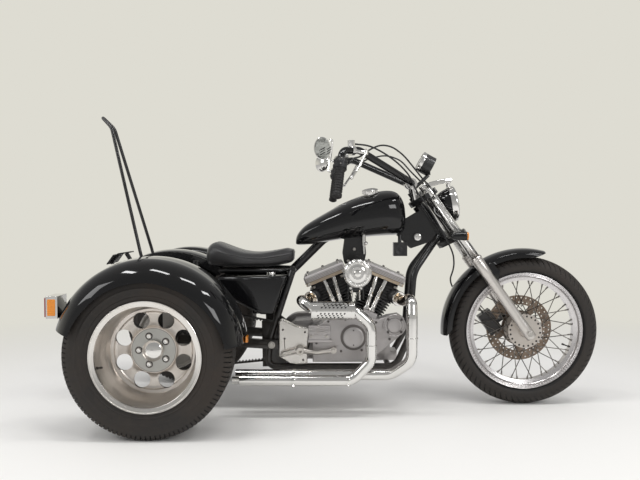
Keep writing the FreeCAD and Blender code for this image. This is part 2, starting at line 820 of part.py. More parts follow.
def bracket(name, side):
    """Flat bars from the axle to the inner edge of a rear fender."""
    flat = mm("fender_inner") - 3 - gap
    bars = []
    for step, angle in enumerate((38, 90, 142)):
        lean = FreeCAD.Rotation(AXIS_Y, -angle)
        reach = mm("fender_radius") - 20
        inner = mm("axle_tube_radius") - 6
        middle = V(rear_x, side * flat, rear_z) + lean.multVec(V((reach + inner) / 2, 0, 0))
        bars.append(block(f"{name}_{step}", reach - inner, 6, 34, middle, lean))
    bars.append(rod(name + "_ring", REAR_AXLE + AXIS_Y * side * (flat - 3),
                    REAR_AXLE + AXIS_Y * side * (flat + 3), 70))
    shell = fused(name + "_bars", bars)
    return cut(name, shell, rod(name + "_bore", REAR_AXLE + AXIS_Y * side * 300,
                                REAR_AXLE + AXIS_Y * side * 380, number("axle_tube_radius") + gap))


node(together("axle_housing_set", [housing] + pair_of("bracket", bracket)), "axle_housing")


def shock(name, side):
    """Coil-over shock absorber between the axle clamp and the fender strut."""
    low = V(rear_x + 72, side * shock_y, rear_z + 17)
    high = shock_top + AXIS_Y * side * shock_y + V(0, 0, 12)
    run = high - low
    place = FreeCAD.Placement(low, FreeCAD.Rotation(AXIS_Y, run))
    coils = 9
    pitch = (run.Length - 110) / coils
    outline = [("0", 0), (13, 0), (13, 40), (27, 46)]
    for turn_step in range(coils):
        base = 50 + turn_step * pitch
        outline += [(27, base), (21, base + pitch * 0.5)]
    outline += [(27, 50 + coils * pitch), (27, run.Length - 50), (14, run.Length - 40)]
    outline += [(14, run.Length), ("0", run.Length)]
    return turned(name, outline, place)


node(together("shock_set", pair_of("shock", shock)), "shock_absorbers")


# Belt drive

front_pulley = V(-212, -mm("belt_offset"), 288)
rear_pulley = V(rear_x, -mm("belt_offset"), rear_z)


def tangent_loop(grow):
    """The loop round both pulleys at a distance from their pitch radius."""
    r_front = mm("front_pulley_radius") + grow
    r_rear = mm("rear_pulley_radius") + grow
    run = front_pulley - rear_pulley
    base = math.atan2(run.z, run.x)
    open_angle = math.acos((r_rear - r_front) / math.hypot(run.x, run.z))
    spots = []
    for centre, radius in ((rear_pulley, r_rear), (front_pulley, r_front)):
        for sign in (1, -1):
            a = base + sign * open_angle
            spots.append(V(centre.x + radius * math.cos(a), 0, centre.z + radius * math.sin(a)))
    rear_top, rear_low, front_top, front_low = spots
    far_rear = V(rear_pulley.x - r_rear * math.cos(base), 0, rear_pulley.z - r_rear * math.sin(base))
    far_front = V(front_pulley.x + r_front * math.cos(base), 0, front_pulley.z + r_front * math.sin(base))
    return Part.Wire([
        Part.LineSegment(rear_top, front_top).toShape(),
        Part.Arc(front_top, far_front, front_low).toShape(),
        Part.LineSegment(front_low, rear_low).toShape(),
        Part.Arc(rear_low, far_rear, rear_top).toShape(),
    ]), (rear_top, rear_low, front_top, front_low)


outer_loop, ends = tangent_loop(mm("belt_thickness"))
inner_loop, ends = tangent_loop(0.0)
belt_width = mm("belt_width")
band = Part.Face(outer_loop).extrude(AXIS_Y * belt_width).cut(Part.Face(inner_loop).extrude(AXIS_Y * belt_width))
teeth = []
for start, end in ((ends[0], ends[2]), (ends[1], ends[3])):
    run = end - start
    step = run.normalize() * mm("belt_pitch")
    inward = V(0, 0, -1) if start.z > rear_z else V(0, 0, 1)
    count = int((end - start).Length / mm("belt_pitch"))
    for tooth in range(3, count - 2):
        at = start + step * tooth
        side_a = at - step * 0.28
        side_b = at + step * 0.28
        tip_a = at - step * 0.16 + inward * 5
        tip_b = at + step * 0.16 + inward * 5
        base_a = side_a - inward * 0.6
        base_b = side_b - inward * 0.6
        face = Part.Face(Part.makePolygon([base_a, side_a, tip_a, tip_b, side_b, base_b, base_a]))
        teeth.append(face.extrude(AXIS_Y * belt_width))
belt = shaped("drive_belt_loop", band.multiFuse(teeth))
belt.Placement = FreeCAD.Placement(V(0, -mm("belt_offset") - belt_width / 2, 0), FreeCAD.Rotation())
node(belt, "drive_belt")


def pulley(name, centre, radius, bore):
    half = number("belt_width / 2") + 1
    face = number(radius) - gap
    place = FreeCAD.Placement(centre, FreeCAD.Rotation())
    return turned(name, [
        (bore, -half - 2), (face - 22, -half - 2), (face - 22, -half + 4), (face - 10, -half + 4),
        (face - 10, -half - 3), (face - 5, -half - 3), (face - 5, -half), (face, -half), (face, half),
        (face - 5, half), (face - 10, half), (face - 10, half - 8), (face - 22, half - 8), (bore, half - 8),
    ], place)


node(together("pulley_set", [
    pulley("rear_pulley_body", rear_pulley, "rear_pulley_radius", number("axle_tube_radius") + 0.5),
    pulley("front_pulley_body", front_pulley, "front_pulley_radius", 12.0),
]), "drive_pulleys")


# Engine

CRANK = V(mm("crank_x"), 0, mm("crank_height"))
lean_angle = mm("cylinder_angle")


def leaning(sign):
    """The frame of one cylinder: Z up its bore, from the crankshaft."""
    return FreeCAD.Placement(CRANK, FreeCAD.Rotation(AXIS_Y, sign * lean_angle))


def up_bore(sign, along, across=0.0, aside=0.0):
    return leaning(sign).multVec(V(across, aside, along))


deck = mm("barrel_start")
deck_rear_low = up_bore(-1, deck, -64)
deck_rear_high = up_bore(-1, deck, 62)
deck_front_low = up_bore(1, deck, 64)
crankcase = padded("crankcase", "XZ_Plane", [
    (-128, 206), (170, 206), (206, 240), (200, 330),
    (deck_front_low.x, deck_front_low.z), (deck_rear_high.x, deck_rear_high.z),
    (deck_rear_low.x, deck_rear_low.z), (-128, 376),
], "case_half_width * 2")
gearbox = padded("gearbox", "XZ_Plane", [
    (-246, 224), (-230, 214), (-120, 206), (-120, 378), (-204, 372), (-246, 330),
], 146, FreeCAD.Placement(V(0, 15, 0), FreeCAD.Rotation()))
mount_front = block("mount_front", 84, 90, 40, V(mm("downtube_x") - 96, 0, rail_z + 12 + gap + 20))
mount_rear = block("mount_rear", 50, 90, 40, V(pivot.x + 76, 0, rail_z + 12 + gap + 20))
shaft = rod("output_shaft", V(front_pulley.x, -50, front_pulley.z), V(front_pulley.x, -108, front_pulley.z), 11.5)
node(fused("engine_cases_fuse", [crankcase, gearbox, mount_front, mount_rear, shaft]), "engine_cases")

gear_y = mm("case_half_width") + gap
cover_mid = gear_y + mm("gearcase_depth") / 2
gear_plate = padded("gear_plate", "XZ_Plane", [
    (-128, 211), (108, 211), (150, 244), (236, 318), (262, 352), (258, 396), (232, 414), (186, 406),
    (150, 392), (40, 404), (-60, 396), (-110, 366), (-132, 320),
], "gearcase_depth", FreeCAD.Placement(V(0, -cover_mid, 0), FreeCAD.Rotation()))
gear_soft = rounded("gear_plate_soft", gear_plate, 7,
                    lambda edge: abs(edge.CenterOfMass.y + gear_y + mm("gearcase_depth")) < 0.01)
gear_face = -gear_y - mm("gearcase_depth")
timer = V(44, gear_face, 317)
front_cap = V(216, gear_face, 368)
gear_parts = [gear_soft]
ROUND_COVERS = (("timer", timer, 55, 5), ("timer_cap", timer, 44, 12), ("front_cap", front_cap, 47, 12))
for word, spot, size, height in ROUND_COVERS:
    gear_parts.append(rod(word, spot + AXIS_Y * 4, spot - AXIS_Y * height, size))
tappet_top = deck + 16 - gap
for word, sign in (("rear", -1), ("front", 1)):
    middle = up_bore(sign, tappet_top - 20, sign * 4, -gear_y - 18)
    gear_parts.append(block(f"{word}_tappet", 62, 36, 40, middle, FreeCAD.Rotation(AXIS_Y, sign * lean_angle)))
node(fused("gearcase_cover_fuse", gear_parts), "gearcase_cover")

primary_mid = gear_y + mm("primary_depth") / 2
primary = padded("primary_body", "XZ_Plane", [
    (-200, 205), (120, 205, 100), (120, 401), (-200, 385, 92),
], "primary_depth", FreeCAD.Placement(V(0, primary_mid, 0), FreeCAD.Rotation()))
primary_soft = rounded("primary_soft", primary, 14,
                       lambda edge: abs(edge.CenterOfMass.y - gear_y - mm("primary_depth")) < 0.01)
primary_face = gear_y + mm("primary_depth")
derby = rod("derby_cover", V(-190, primary_face - 4, 292), V(-190, primary_face + 9, 292), 56)
inspection = rod("inspection_cover", V(104, primary_face - 4, 303), V(104, primary_face + 8, 303), 62)
plate_out = mm("rail_half_spacing") + 2 + gap
frame_relief = block("frame_relief", 80, plate_out, 300, V(-278, plate_out / 2, 300))
primary_whole = fused("primary_cover_fuse", [primary_soft, derby, inspection])
node(cut("primary_cover_cut", primary_whole, frame_relief), "primary_cover")

fin_top = deck + 18 + mm("fin_count") * mm("fin_pitch")
PORT_HEIGHT = 262
PORT_END = (92, -96)


def cylinder(word, sign):
    """Barrel and head with a stack of fins that widens towards the top."""
    wide = 104
    chamfer = 22
    half_y = number("fin_half_width + 6")
    fin = doc.addObject("PartDesign::Body", word + "_fins")
    sketch = sketch_on(fin, "XY_Plane", word + "_fin_outline")
    draw(sketch, [
        (-wide, -half_y + chamfer), (-wide + chamfer, -half_y), (wide - chamfer, -half_y),
        (wide, -half_y + chamfer), (wide, half_y - chamfer), (wide - chamfer, half_y),
        (-wide + chamfer, half_y), (-wide, half_y - chamfer),
    ])
    pad = fin.newObject("PartDesign::Pad", word + "_fin")
    pad.Profile = sketch
    pad.Length = mm("fin_thickness")
    bind(pad, "Length", "fin_thickness")
    stack = fin.newObject("PartDesign::LinearPattern", word + "_fin_stack")
    stack.Originals = [pad]
    stack.Direction = (sketch, ["N_Axis"])
    stack.Length = mm("fin_pitch") * (mm("fin_count") - 1)
    bind(stack, "Length", "fin_pitch * (fin_count - 1)")
    stack.Occurrences = int(mm("fin_count"))
    bind(stack, "Occurrences", "fin_count")
    fin.Tip = stack
    fin.Placement = FreeCAD.Placement(V(0, 0, deck + 12), FreeCAD.Rotation())
    taper = doc.addObject("Part::Wedge", word + "_taper")
    taper.Xmin, taper.Xmax = -60, 60
    taper.Zmin, taper.Zmax = -mm("fin_half_width") + 4, mm("fin_half_width") - 4
    taper.X2min, taper.X2max = -98, 98
    taper.Z2min, taper.Z2max = -mm("fin_half_width") - 1, mm("fin_half_width") + 1
    taper.Ymin, taper.Ymax = deck, fin_top + 40
    taper.Placement = FreeCAD.Placement(V(0, 0, 0), FreeCAD.Rotation(V(1, 0, 0), 90))
    fins = doc.addObject("Part::Common", word + "_tapered_fins")
    fins.Base = fin
    fins.Tool = taper
    barrel = rod(word + "_barrel", V(0, 0, deck + gap), V(0, 0, fin_top), "barrel_radius")
    foot = rod(word + "_foot", V(0, 0, deck + gap), V(0, 0, deck + 9), "barrel_radius + 10")
    head = block(word + "_head", 150, 130, mm("head_height"), V(0, 0, fin_top + 8 - mm("head_height") / 2))
    port = rod(word + "_port", V(sign * 50, -20, PORT_HEIGHT), V(sign * PORT_END[0], PORT_END[1], PORT_HEIGHT), 31)
    whole = fused(word + "_fuse", [barrel, foot, head, fins, port])
    whole.Placement = leaning(sign)
    return whole


node(together("cylinders_set", [cylinder("rear", -1), cylinder("front", 1)]), "cylinders")
rocker_base = fin_top + 8 + gap


def rocker_cover(word, sign):
    """Rocker box and its cover, with rounded upper edges."""
    lower = block(word + "_rocker_box", "rocker_length - 6", "rocker_width - 6", 16, V(0, 0, rocker_base + 8))
    upper = block(word + "_rocker_lid", "rocker_length", "rocker_width", "rocker_height - 14",
                  V(0, 0, rocker_base + 14 + (mm("rocker_height") - 14) / 2))
    lid = rounded(word + "_rocker_soft", upper, 9, lambda edge: edge.CenterOfMass.z > rocker_base + 16)
    joined = fused(word + "_rocker_fuse", [lower, lid])
    joined.Placement = leaning(sign)
    return joined


both_covers = [rocker_cover("rear_cover", -1), rocker_cover("front_cover", 1)]
node(together("rocker_covers_set", both_covers), "rocker_covers")

pushrod_parts = []
for word, sign, inner, outer in (("rear", -1, -14, 30), ("front", 1, 14, -30)):
    for step, across in enumerate((inner, outer)):
        aside = -mm("pushrod_offset")
        foot = up_bore(sign, deck + 17.3, across * 0.55, aside)
        top = up_bore(sign, rocker_base - 1.4, across, aside)
        thin = rod(f"{word}_tube_{step}", foot, top, "pushrod_radius")
        low = rod(f"{word}_tube_foot_{step}", foot, foot + (top - foot) * 0.07, "pushrod_radius + 4")
        mid = rod(f"{word}_tube_collar_{step}", foot + (top - foot) * 0.4, foot + (top - foot) * 0.45,
                  "pushrod_radius + 2.5")
        pushrod_parts.append(fused(f"{word}_tube_set_{step}", [thin, low, mid]))
node(together("pushrod_tubes_set", pushrod_parts), "pushrod_tubes")

# Air cleaner, carburettor and covers

intake_z = 595
cleaner_back = -mm("air_cleaner_face") + mm("air_cleaner_depth")
cleaner = V(mm("crank_x") + 4, 0, intake_z)
node(turned("air_cleaner_body", [
    ("0", -mm("air_cleaner_face")), (12, -mm("air_cleaner_face")), (14, -mm("air_cleaner_face") + 5),
    (26, -mm("air_cleaner_face") + 5), (34, -mm("air_cleaner_face") + 9),
    ("air_cleaner_radius - 15", -mm("air_cleaner_face") + 9),
    ("air_cleaner_radius - 12", -mm("air_cleaner_face") + 2, 12),
    ("air_cleaner_radius", -mm("air_cleaner_face") + 12),
    ("air_cleaner_radius", cleaner_back), ("0", cleaner_back),
], FreeCAD.Placement(cleaner, FreeCAD.Rotation())), "air_cleaner")
carb_end = cleaner_back + gap
node(fused("carburettor_fuse", [
    rod("carb_flange", V(cleaner.x, carb_end, intake_z), V(cleaner.x, carb_end + 10, intake_z), 44),
    rod("carb_throat", V(cleaner.x, carb_end, intake_z), V(cleaner.x, -20, intake_z), 26),
    rod("float_bowl", V(cleaner.x, carb_end + 44, intake_z - 62), V(cleaner.x, carb_end + 44, intake_z), 28),
    block("manifold", 2 * 36, 44, 44, V(mm("crank_x"), -8, intake_z)),
]), "carburettor")

sprocket_cover = padded("sprocket_cover_body", "XZ_Plane", [
    (-224, 208), (-196, 203), (-150, 206), (-150, 300), (-142, 356),
    (-199, 366), (-258, 394), (-270, 384), (-270, 236),
], 160 - plate_out, FreeCAD.Placement(V(0, -(160 + plate_out) / 2, 0), FreeCAD.Rotation()))
node(rounded("sprocket_cover_soft", sprocket_cover, 5,
             lambda edge: abs(edge.CenterOfMass.y + 160) < 0.01), "sprocket_cover")


def footrest(name, side):
    """Bracket on the lower side of the engine, with an open boss where a peg is fastened."""
    depth = mm("gearcase_depth") if side < 0 else mm("primary_depth")
    face = side * (depth + gear_y + gap)
    bar_y = face + side * 12
    out_y = bar_y + side * 22
    level = mm("crank_height") - 4
    peg_x = mm("crank_x") - 232
    bolt_x = mm("crank_x") - 92
    bar = tube(name + "_bar", [V(bolt_x + 6, bar_y, level), V(bolt_x - 70, out_y, level - 6),
                               V(peg_x, out_y, level + 2), V(peg_x - 82, out_y, level - 18)], 8, [60, 60])
    bolt = rod(name + "_bolt", V(bolt_x, face, level), V(bolt_x, bar_y + side * 12, level), 13)
    boss = rod(name + "_boss", V(peg_x, bar_y - side * 2, level + 2), V(peg_x, bar_y + side * 40, level + 2), 16)
    whole = fused(name + "_whole", [bar, bolt, boss])
    return cut(name, whole, rod(name + "_hole", V(peg_x, bar_y + side * 12, level + 2),
                                V(peg_x, bar_y + side * 60, level + 2), "footrest_bore_radius"))


node(together("foot_controls_set", pair_of("footrest", footrest)), "foot_controls")


# Exhaust

rear_y = -mm("rear_pipe_offset")
front_y = -mm("front_pipe_offset")
low_z = 156
end_x = mm("pipe_end_x")


def hollow(name, points, bends):
    """A pipe that is open at its tail."""
    outer = tube(name + "_outer", points, "pipe_radius", bends)
    tail = points[-1]
    bore = rod(name + "_bore", tail + V(120, 0, 0), tail - V(5, 0, 0), "pipe_radius - 2")
    return cut(name, outer, bore)



def port_mouth(sign):
    """Where a pipe meets the port of a head."""
    inner = V(sign * 50, -20, PORT_HEIGHT)
    outer = V(sign * PORT_END[0], PORT_END[1], PORT_HEIGHT)
    return leaning(sign).multVec(outer + (outer - inner).normalize() * gap)


def port_way(sign):
    return port_mouth(sign) + leaning(sign).Rotation.multVec(V(sign * 42, -76, 0)).normalize() * 44


rear_route = [
    port_mouth(-1), port_way(-1), V(-182, -218, 484), V(-122, rear_y, 443), V(44, rear_y, 443),
    V(112, rear_y, 384), V(112, rear_y, 236), V(36, rear_y, low_z), V(end_x, rear_y, low_z),
]
front_route = [
    port_mouth(1), port_way(1), V(280, -222, 492), V(278, rear_y, 420), V(278, rear_y, 236),
    V(200, front_y, low_z + 12), V(end_x - 22, front_y, low_z + 12),
]
rear_pipe = hollow("rear_pipe", rear_route, [60, 40, 80, 62, 70, 62, 70])
tail_ring = rod("tail_ring", V(end_x + 2, rear_y, low_z), V(end_x - 31, rear_y, low_z), 15.5)
tail_hole = rod("tail_hole", V(end_x + 60, rear_y, low_z), V(end_x - 40, rear_y, low_z), 13)
inner_tail = cut("inner_tail", fused("tail_pipe", [tail_ring, rod("tail_stop", V(end_x + 90, rear_y, low_z),
                                                                 V(end_x + 1, rear_y, low_z), 21)]), tail_hole)
rear_whole = fused("rear_exhaust_fuse", [rear_pipe, inner_tail])
front_pipe = hollow("front_pipe", front_route, [60, 46, 60, 70, 70])
node(together("exhaust_set", [rear_whole, front_pipe]), "exhaust_pipes")

shield_length = 172
shield_radius = number("pipe_radius + 16")
shield_sweep = 130
shield_middle = V(-44, rear_y, 443)


def sector(name, radius, start, length):
    """Part of a cylinder over the swept angle of the shield."""
    item = doc.addObject("Part::Cylinder", name)
    item.Radius = radius
    item.Height = length
    item.Angle = shield_sweep
    item.Placement = FreeCAD.Placement(V(0, 0, start), FreeCAD.Rotation())
    return item


def full(name, radius, start, length):
    return rod(name, V(0, 0, start), V(0, 0, start + length), radius)


shield_shell = cut("shield_shell", sector("shield_outer", shield_radius, 0, shield_length),
                   full("shield_inner", shield_radius - 2.5, -10, shield_length + 20))
webs = []
for step in (48, 134):
    webs.append(cut(f"web_{step}", sector(f"web_outer_{step}", shield_radius - 1, step, 3),
                    full(f"web_inner_{step}", number("pipe_radius") + gap, step - 5, 13)))
slots = []
for row_angle in (48, 84):
    for step in range(9):
        a = math.radians(row_angle)
        spot = V(math.cos(a), math.sin(a), 0)
        base = V(0, 0, 14 + step * 18)
        slots.append(rod(f"slot_{row_angle}_{step}", base + spot * (shield_radius - 8),
                         base + spot * (shield_radius + 8), 5.5))
perforated = fused("shield_fuse", [cut("shield_cut", shield_shell, fused("shield_slots", slots))] + webs)
shield_turn = FreeCAD.Rotation(V(0, 0, 1), V(0, -1, 0), V(1, 0, 0), "ZXY")
shield_roll = FreeCAD.Rotation(V(0, 0, 1), 18)
shield_start = shield_middle - V(shield_length / 2, 0, 0)
perforated.Placement = FreeCAD.Placement(shield_start, shield_turn.multiply(shield_roll))
node(perforated, "heat_shield")


# Oil tank, battery and side cover

tank_bottom = shelf_z + 3 + gap
side_outline = [
    (-290, tank_bottom), (-236, rail_level(-236) - 16), (-520, rail_level(-520) - 19),
    (-536, rail_level(-536) - 42), (-452, tank_bottom + 55), (-344, tank_bottom),
]
battery_half = 58


def side_box(name, side, depth):
    middle = side * (battery_half + gap + depth / 2)
    body = padded(name, "XZ_Plane", side_outline, depth, FreeCAD.Placement(V(0, middle, 0), FreeCAD.Rotation()))
    face = side * (battery_half + gap + depth)
    return rounded(name + "_soft", body, 16, lambda edge: abs(edge.CenterOfMass.y - face) < 0.01)


node(side_box("oil_tank_body", -1, 128), "oil_tank")
node(side_box("side_cover_body", 1, 128), "side_cover")
node(padded("battery_body", "XZ_Plane", [
    (-300, tank_bottom), (-250, rail_level(-250) - 34), (-470, rail_level(-470) - 34), (-400, tank_bottom),
], battery_half * 2), "battery")
oil_level = rail_level(-304) - 16.5 + gap
oil_cap = rod("oil_cap_body", V(-304, -140, oil_level), V(-304, -140, oil_level + 14), 19.5)


# Fuel tank: sections across the machine, each as half width, top and bottom height

def section(x, half, top, bottom, power=2.5, count=24):
    """A closed smooth section like a rounded rectangle."""
    spots = []
    for step in range(count):
        a = 2 * math.pi * step / count
        c = math.cos(a)
        n = math.sin(a)
        y = half * math.copysign(abs(c) ** (2 / power), c)
        z = (top + bottom) / 2 + (top - bottom) / 2 * math.copysign(abs(n) ** (2 / power), n)
        spots.append(V(x, y, z))
    curve = Part.BSplineCurve()
    curve.interpolate(Points=spots, PeriodicFlag=True)
    return Part.Wire(curve.toShape())


tank_sections = [
    (-202, 34, 728, 704), (-196, 56, 748, 700), (-180, 70, 770, 699), (-130, 90, 808, 704), (-58, 110, 850, 716),
    (42, 127, 901, 730), (118, 132, 926, 737), (200, 126, 939, 742), (240, 112, 928, 745), (262, 92, 900, 754),
    (272, 62, 862, 776),
]
tank_solid = Part.makeLoft([section(*row) for row in tank_sections], True, False)
tank_loft = shaped("fuel_tank_loft", tank_solid)
tunnel = block("tank_tunnel", 600, 68, 160, V(30, 0, 738))
node(cut("fuel_tank_cut", tank_loft, tunnel), "fuel_tank")
fuel_cap = cut("fuel_cap_cut", fused("fuel_cap_fuse", [
    rod("cap_skirt", V(122, -50, 900), V(120, -54, 928), 24),
    rod("cap_top", V(120, -54, 926), V(118, -57, 940), 33),
]), tank_loft)
node(together("filler_caps_set", [fuel_cap, oil_cap]), "filler_caps")


# Seat

# Each row: place, half width, height of the top and of the underside over the rails' level
SEAT_SHAPE = [
    (-592, 90, 70, 34), (-580, 120, 102, 22), (-556, 142, 121, 10.5), (-520, 150, 112, 10.5),
    (-470, 150, 92, 10.5), (-420, 140, 78, 10.5), (-360, 122, 73, 10.5), (-300, 104, 80, 12.5),
    (-250, 88, 90, 22.5), (-216, 70, 96, 34.5),
    (-207, 56, 90, 46.5),
]
seat_sections = [
    section(x, half, rail_level(x) + top, rail_level(x) + low, 3.0)
    for x, half, top, low in SEAT_SHAPE
]
seat_solid = Part.makeLoft(seat_sections, True, False)
seat_loft = shaped("seat_loft", seat_solid)
seat_relief = rod("seat_relief", REAR_AXLE - AXIS_Y * (strut_y + 5), REAR_AXLE + AXIS_Y * (strut_y + 5),
                  "centre_fender_radius + 1.5")
node(cut("seat_cut", seat_loft, seat_relief), "seat")


# Fenders

node(turned("centre_fender_body", [
    ("centre_fender_radius - 60", "-centre_fender_half_width"),
    ("centre_fender_radius - 22", "-centre_fender_half_width", 24),
    ("centre_fender_radius - 4", "-(centre_fender_half_width - 20)", 400),
    ("centre_fender_radius - 4", "centre_fender_half_width - 20", 24),
    ("centre_fender_radius - 22", "centre_fender_half_width"),
    ("centre_fender_radius - 60", "centre_fender_half_width"),
    ("centre_fender_radius - 60", "centre_fender_half_width - fender_wall"),
    ("centre_fender_radius - 22", "centre_fender_half_width - fender_wall", -20),
    ("centre_fender_radius - 8", "centre_fender_half_width - 21", -396),
    ("centre_fender_radius - 8", "-(centre_fender_half_width - 21)", -20),
    ("centre_fender_radius - 22", "-(centre_fender_half_width - fender_wall)"),
    ("centre_fender_radius - 60", "-(centre_fender_half_width - fender_wall)"),
], FreeCAD.Placement(REAR_AXLE, FreeCAD.Rotation()), 107, -160), "centre_fender")


def rear_fender(side, word):
    """Bulbous fender round one rear wheel, open towards the wheel arch."""
    turn = FreeCAD.Rotation() if side > 0 else FreeCAD.Rotation(V(0, 0, 1), 180)
    start = -163.6 if side > 0 else -173.4
    crown = bow("(fender_outer - fender_inner - 146) / 2", 2.8)
    shell = turned(word + "_fender_shell", [
        ("fender_radius - 46", "fender_inner"),
        ("fender_radius - 20", "fender_inner", 34),
        ("fender_radius - 2", "fender_inner + 28", crown),
        ("fender_radius - 3", "fender_outer - 118", 128),
        ("fender_radius - 60", "fender_outer - 10", 160),
        ("skirt_radius", "fender_outer"),
        ("skirt_radius", "fender_outer - fender_wall"),
        ("fender_radius - 62", "fender_outer - 10 - fender_wall", -156),
        ("fender_radius - 7", "fender_outer - 119", f"-({crown})"),
        ("fender_radius - 6", "fender_inner + 29", -30),
        ("fender_radius - 21", "fender_inner + fender_wall"),
        ("fender_radius - 46", "fender_inner + fender_wall"),
    ], FreeCAD.Placement(REAR_AXLE, turn), 157, start)
    arch_centre = REAR_AXLE + V(5, 0, -25)
    near = mm("fender_outer") - 30
    arch = rod(word + "_arch", arch_centre + AXIS_Y * side * near, arch_centre + AXIS_Y * side * (near + 80), 297)
    return cut(word + "_fender_cut", shell, arch)


node(rear_fender(-1, "right"), "right_fender")
node(rear_fender(1, "left"), "left_fender")


def on_fender(elevation, reach):
    a = math.radians(elevation)
    return V(rear_x + reach * math.cos(a), 0, rear_z + reach * math.sin(a))


def tail_lamp(name, side):
    """Lamp body on the back of a rear fender."""
    middle = V(rear_x - mm("fender_radius") + 4, side * half_track, 489)
    body = block(name + "_block", 44, 100, 84, middle)
    shell = turned(name + "_tool", [
        ("0", -120), ("fender_radius + 1", -120), ("fender_radius + 1", 120), ("0", 120),
    ], FreeCAD.Placement(REAR_AXLE + AXIS_Y * side * half_track, FreeCAD.Rotation()))
    return cut(name, body, shell)


def tail_lens(name, side):
    middle = V(rear_x - mm("fender_radius") + 4 - 22 - gap - 3.5, side * half_track, 489)
    return block(name, 7, 88, 72, middle)


node(together("tail_lamps_set", pair_of("tail_lamp", tail_lamp)), "tail_lamps")


def marker(name, side):
    """Small amber lens on the front edge of a rear fender."""
    spot = on_fender(8, mm("fender_radius") + gap + 5) + AXIS_Y * side * half_track
    return block(name, 8, 40, 22, spot)


node(together("lamp_lenses_set", pair_of("tail_lens", tail_lens) + pair_of("marker", marker)), "lamp_lenses")


# Sissy bar and plate bracket

leg_y = strut_y + 4 + mm("sissy_rod_radius") + gap
sissy_top = mm("sissy_height")
node(tube("sissy_bar_tube", [
    V(rear_x - 112, -leg_y, 618), V(rear_x - 127, -leg_y, 680), V(rear_x - 266, -24, sissy_top - 62),
    V(rear_x - 326, 0, sissy_top),
    V(rear_x - 266, 24, sissy_top - 62), V(rear_x - 127, leg_y, 680), V(rear_x - 112, leg_y, 618),
], "sissy_rod_radius", [60, 60, 9, 60, 60]), "sissy_bar")

strap = padded("plate_strap", "XZ_Plane", [
    (-921, 668), (-925, 673), (-983, 664), (-1016, 618), (-1011, 615), (-979, 658),
], 44)
plate_top = V(-981, 0, 661)
plate_low = V(-1013, 0, 617)
plate_run = plate_low - plate_top
plate_normal = V(plate_run.z, 0, -plate_run.x).normalize()
plate_middle = (plate_top + plate_low) * 0.5 + plate_normal * 2
plate_turn = FreeCAD.Rotation(V(1, 0, 0), plate_run)
plate = block("plate_back", 50, "plate_width", 4, plate_middle, plate_turn)
plate_back = plate_middle - plate_normal * 20
plate_holes = [rod(f"plate_hole_{side}", plate_back + AXIS_Y * side * mm("plate_hole_spacing") / 2,
                   plate_middle + plate_normal * 20 + AXIS_Y * side * mm("plate_hole_spacing") / 2,
                   "plate_hole_radius") for side in (-1, 1)]
strap_foot = rod("strap_foot", on_fender(121.3, mm("centre_fender_radius") + 1.2 + gap), on_fender(121.3, 410), 9)
node(cut("plate_bracket_cut", fused("plate_bracket_fuse", [strap, plate, strap_foot]),
         fused("plate_holes", plate_holes)), "plate_bracket")


# Horn box and ignition switch on the neck

horn = block("horn_box", 58, 44, 58, V(mm("downtube_x") - 42, -50, 684))
tab_y = -27 - gap - 8
horn_tab = rod("horn_tab", V(mm("downtube_x") - 42, tab_y, 684), V(mm("downtube_x") - 42, tab_y, 745), 8)
horn_whole = fused("horn_fuse", [horn, horn_tab])
switch_spot = V(324, 0, 737)
ignition = fused("ignition_fuse", [
    rod("switch_body", switch_spot - AXIS_Y * (27 + gap), switch_spot - AXIS_Y * 62, 12),
    rod("switch_ring", switch_spot - AXIS_Y * 58, switch_spot - AXIS_Y * 66, 14.5),
])
node(together("neck_fittings_set", [horn_whole, ignition]), "horn_and_switch")


# Fork

leg_half = mm("fork_half_spacing")
fork_length = mm("fork_length")
clamp_half = mm("clamp_thickness") / 2
slider_top = mm("slider_length")


def fork_place(along, ahead=0.0, across=0.0):
    return FreeCAD.Placement(on_fork(along, ahead, across), fork_turn)


def clamp(name, along):
    """One clamp: a plate round both fork tubes and the stem."""
    reach = mm("clamp_offset")
    wide = leg_half + 30
    body = padded(name, "XY_Plane", [
        (-26, -leg_half - 27), (22, -leg_half - 27), (30, -leg_half - 10), (12, -40), (12, 40),
        (30, leg_half + 10), (22, leg_half + 27), (-26, leg_half + 27), (-reach - 22, 42), (-reach - 32, 0),
        (-reach - 22, -42),
    ], "clamp_thickness", fork_place(along))
    bores = [rod(f"{name}_bore_{side}", on_fork(along - 40, 0, side * leg_half),
                 on_fork(along + 40, 0, side * leg_half),
                 number("fork_tube_radius") + gap) for side in (-1, 1)]
    return cut(name + "_cut", body, fused(name + "_bores", bores))


upper = clamp("upper_clamp", fork_length)
lower = clamp("lower_clamp", fork_length - mm("clamp_spacing"))
stem = rod("stem", on_head(clamp_half - 4), on_head(mm("clamp_spacing") - clamp_half + 4), "stem_radius")
stem_nut = rod("stem_nut", on_head(-clamp_half + 1), on_head(-clamp_half - 14), 17)
node(fused("fork_clamps_fuse", [upper, lower, stem, stem_nut]), "fork_clamps")

tubes = [tube(f"fork_tube_{side}", [on_fork(slider_top + gap, 0, side * leg_half),
                                    on_fork(fork_length + clamp_half + 10, 0, side * leg_half)],
              "fork_tube_radius", []) for side in (-1, 1)]
node(together("fork_tubes_set", tubes), "fork_tubes")


def slider(name, side):
    """Lower leg, thicker at its seal and at the axle boss."""
    place = FreeCAD.Placement(on_fork(0, 0, side * leg_half), fork_turn.multiply(FreeCAD.Rotation(V(1, 0, 0), 90)))
    body = turned(name + "_turned", [
        ("0", -26), ("slider_radius - 5", -26), ("slider_radius - 1", -18), ("slider_radius - 1", 40),
        ("slider_radius - 2.5", 56), ("slider_radius - 2.5", "slider_length - 90"),
        ("slider_radius", "slider_length - 80"),
        ("slider_radius", "slider_length - 8"), ("slider_radius - 3", "slider_length"), ("0", "slider_length"),
    ], place)
    return body


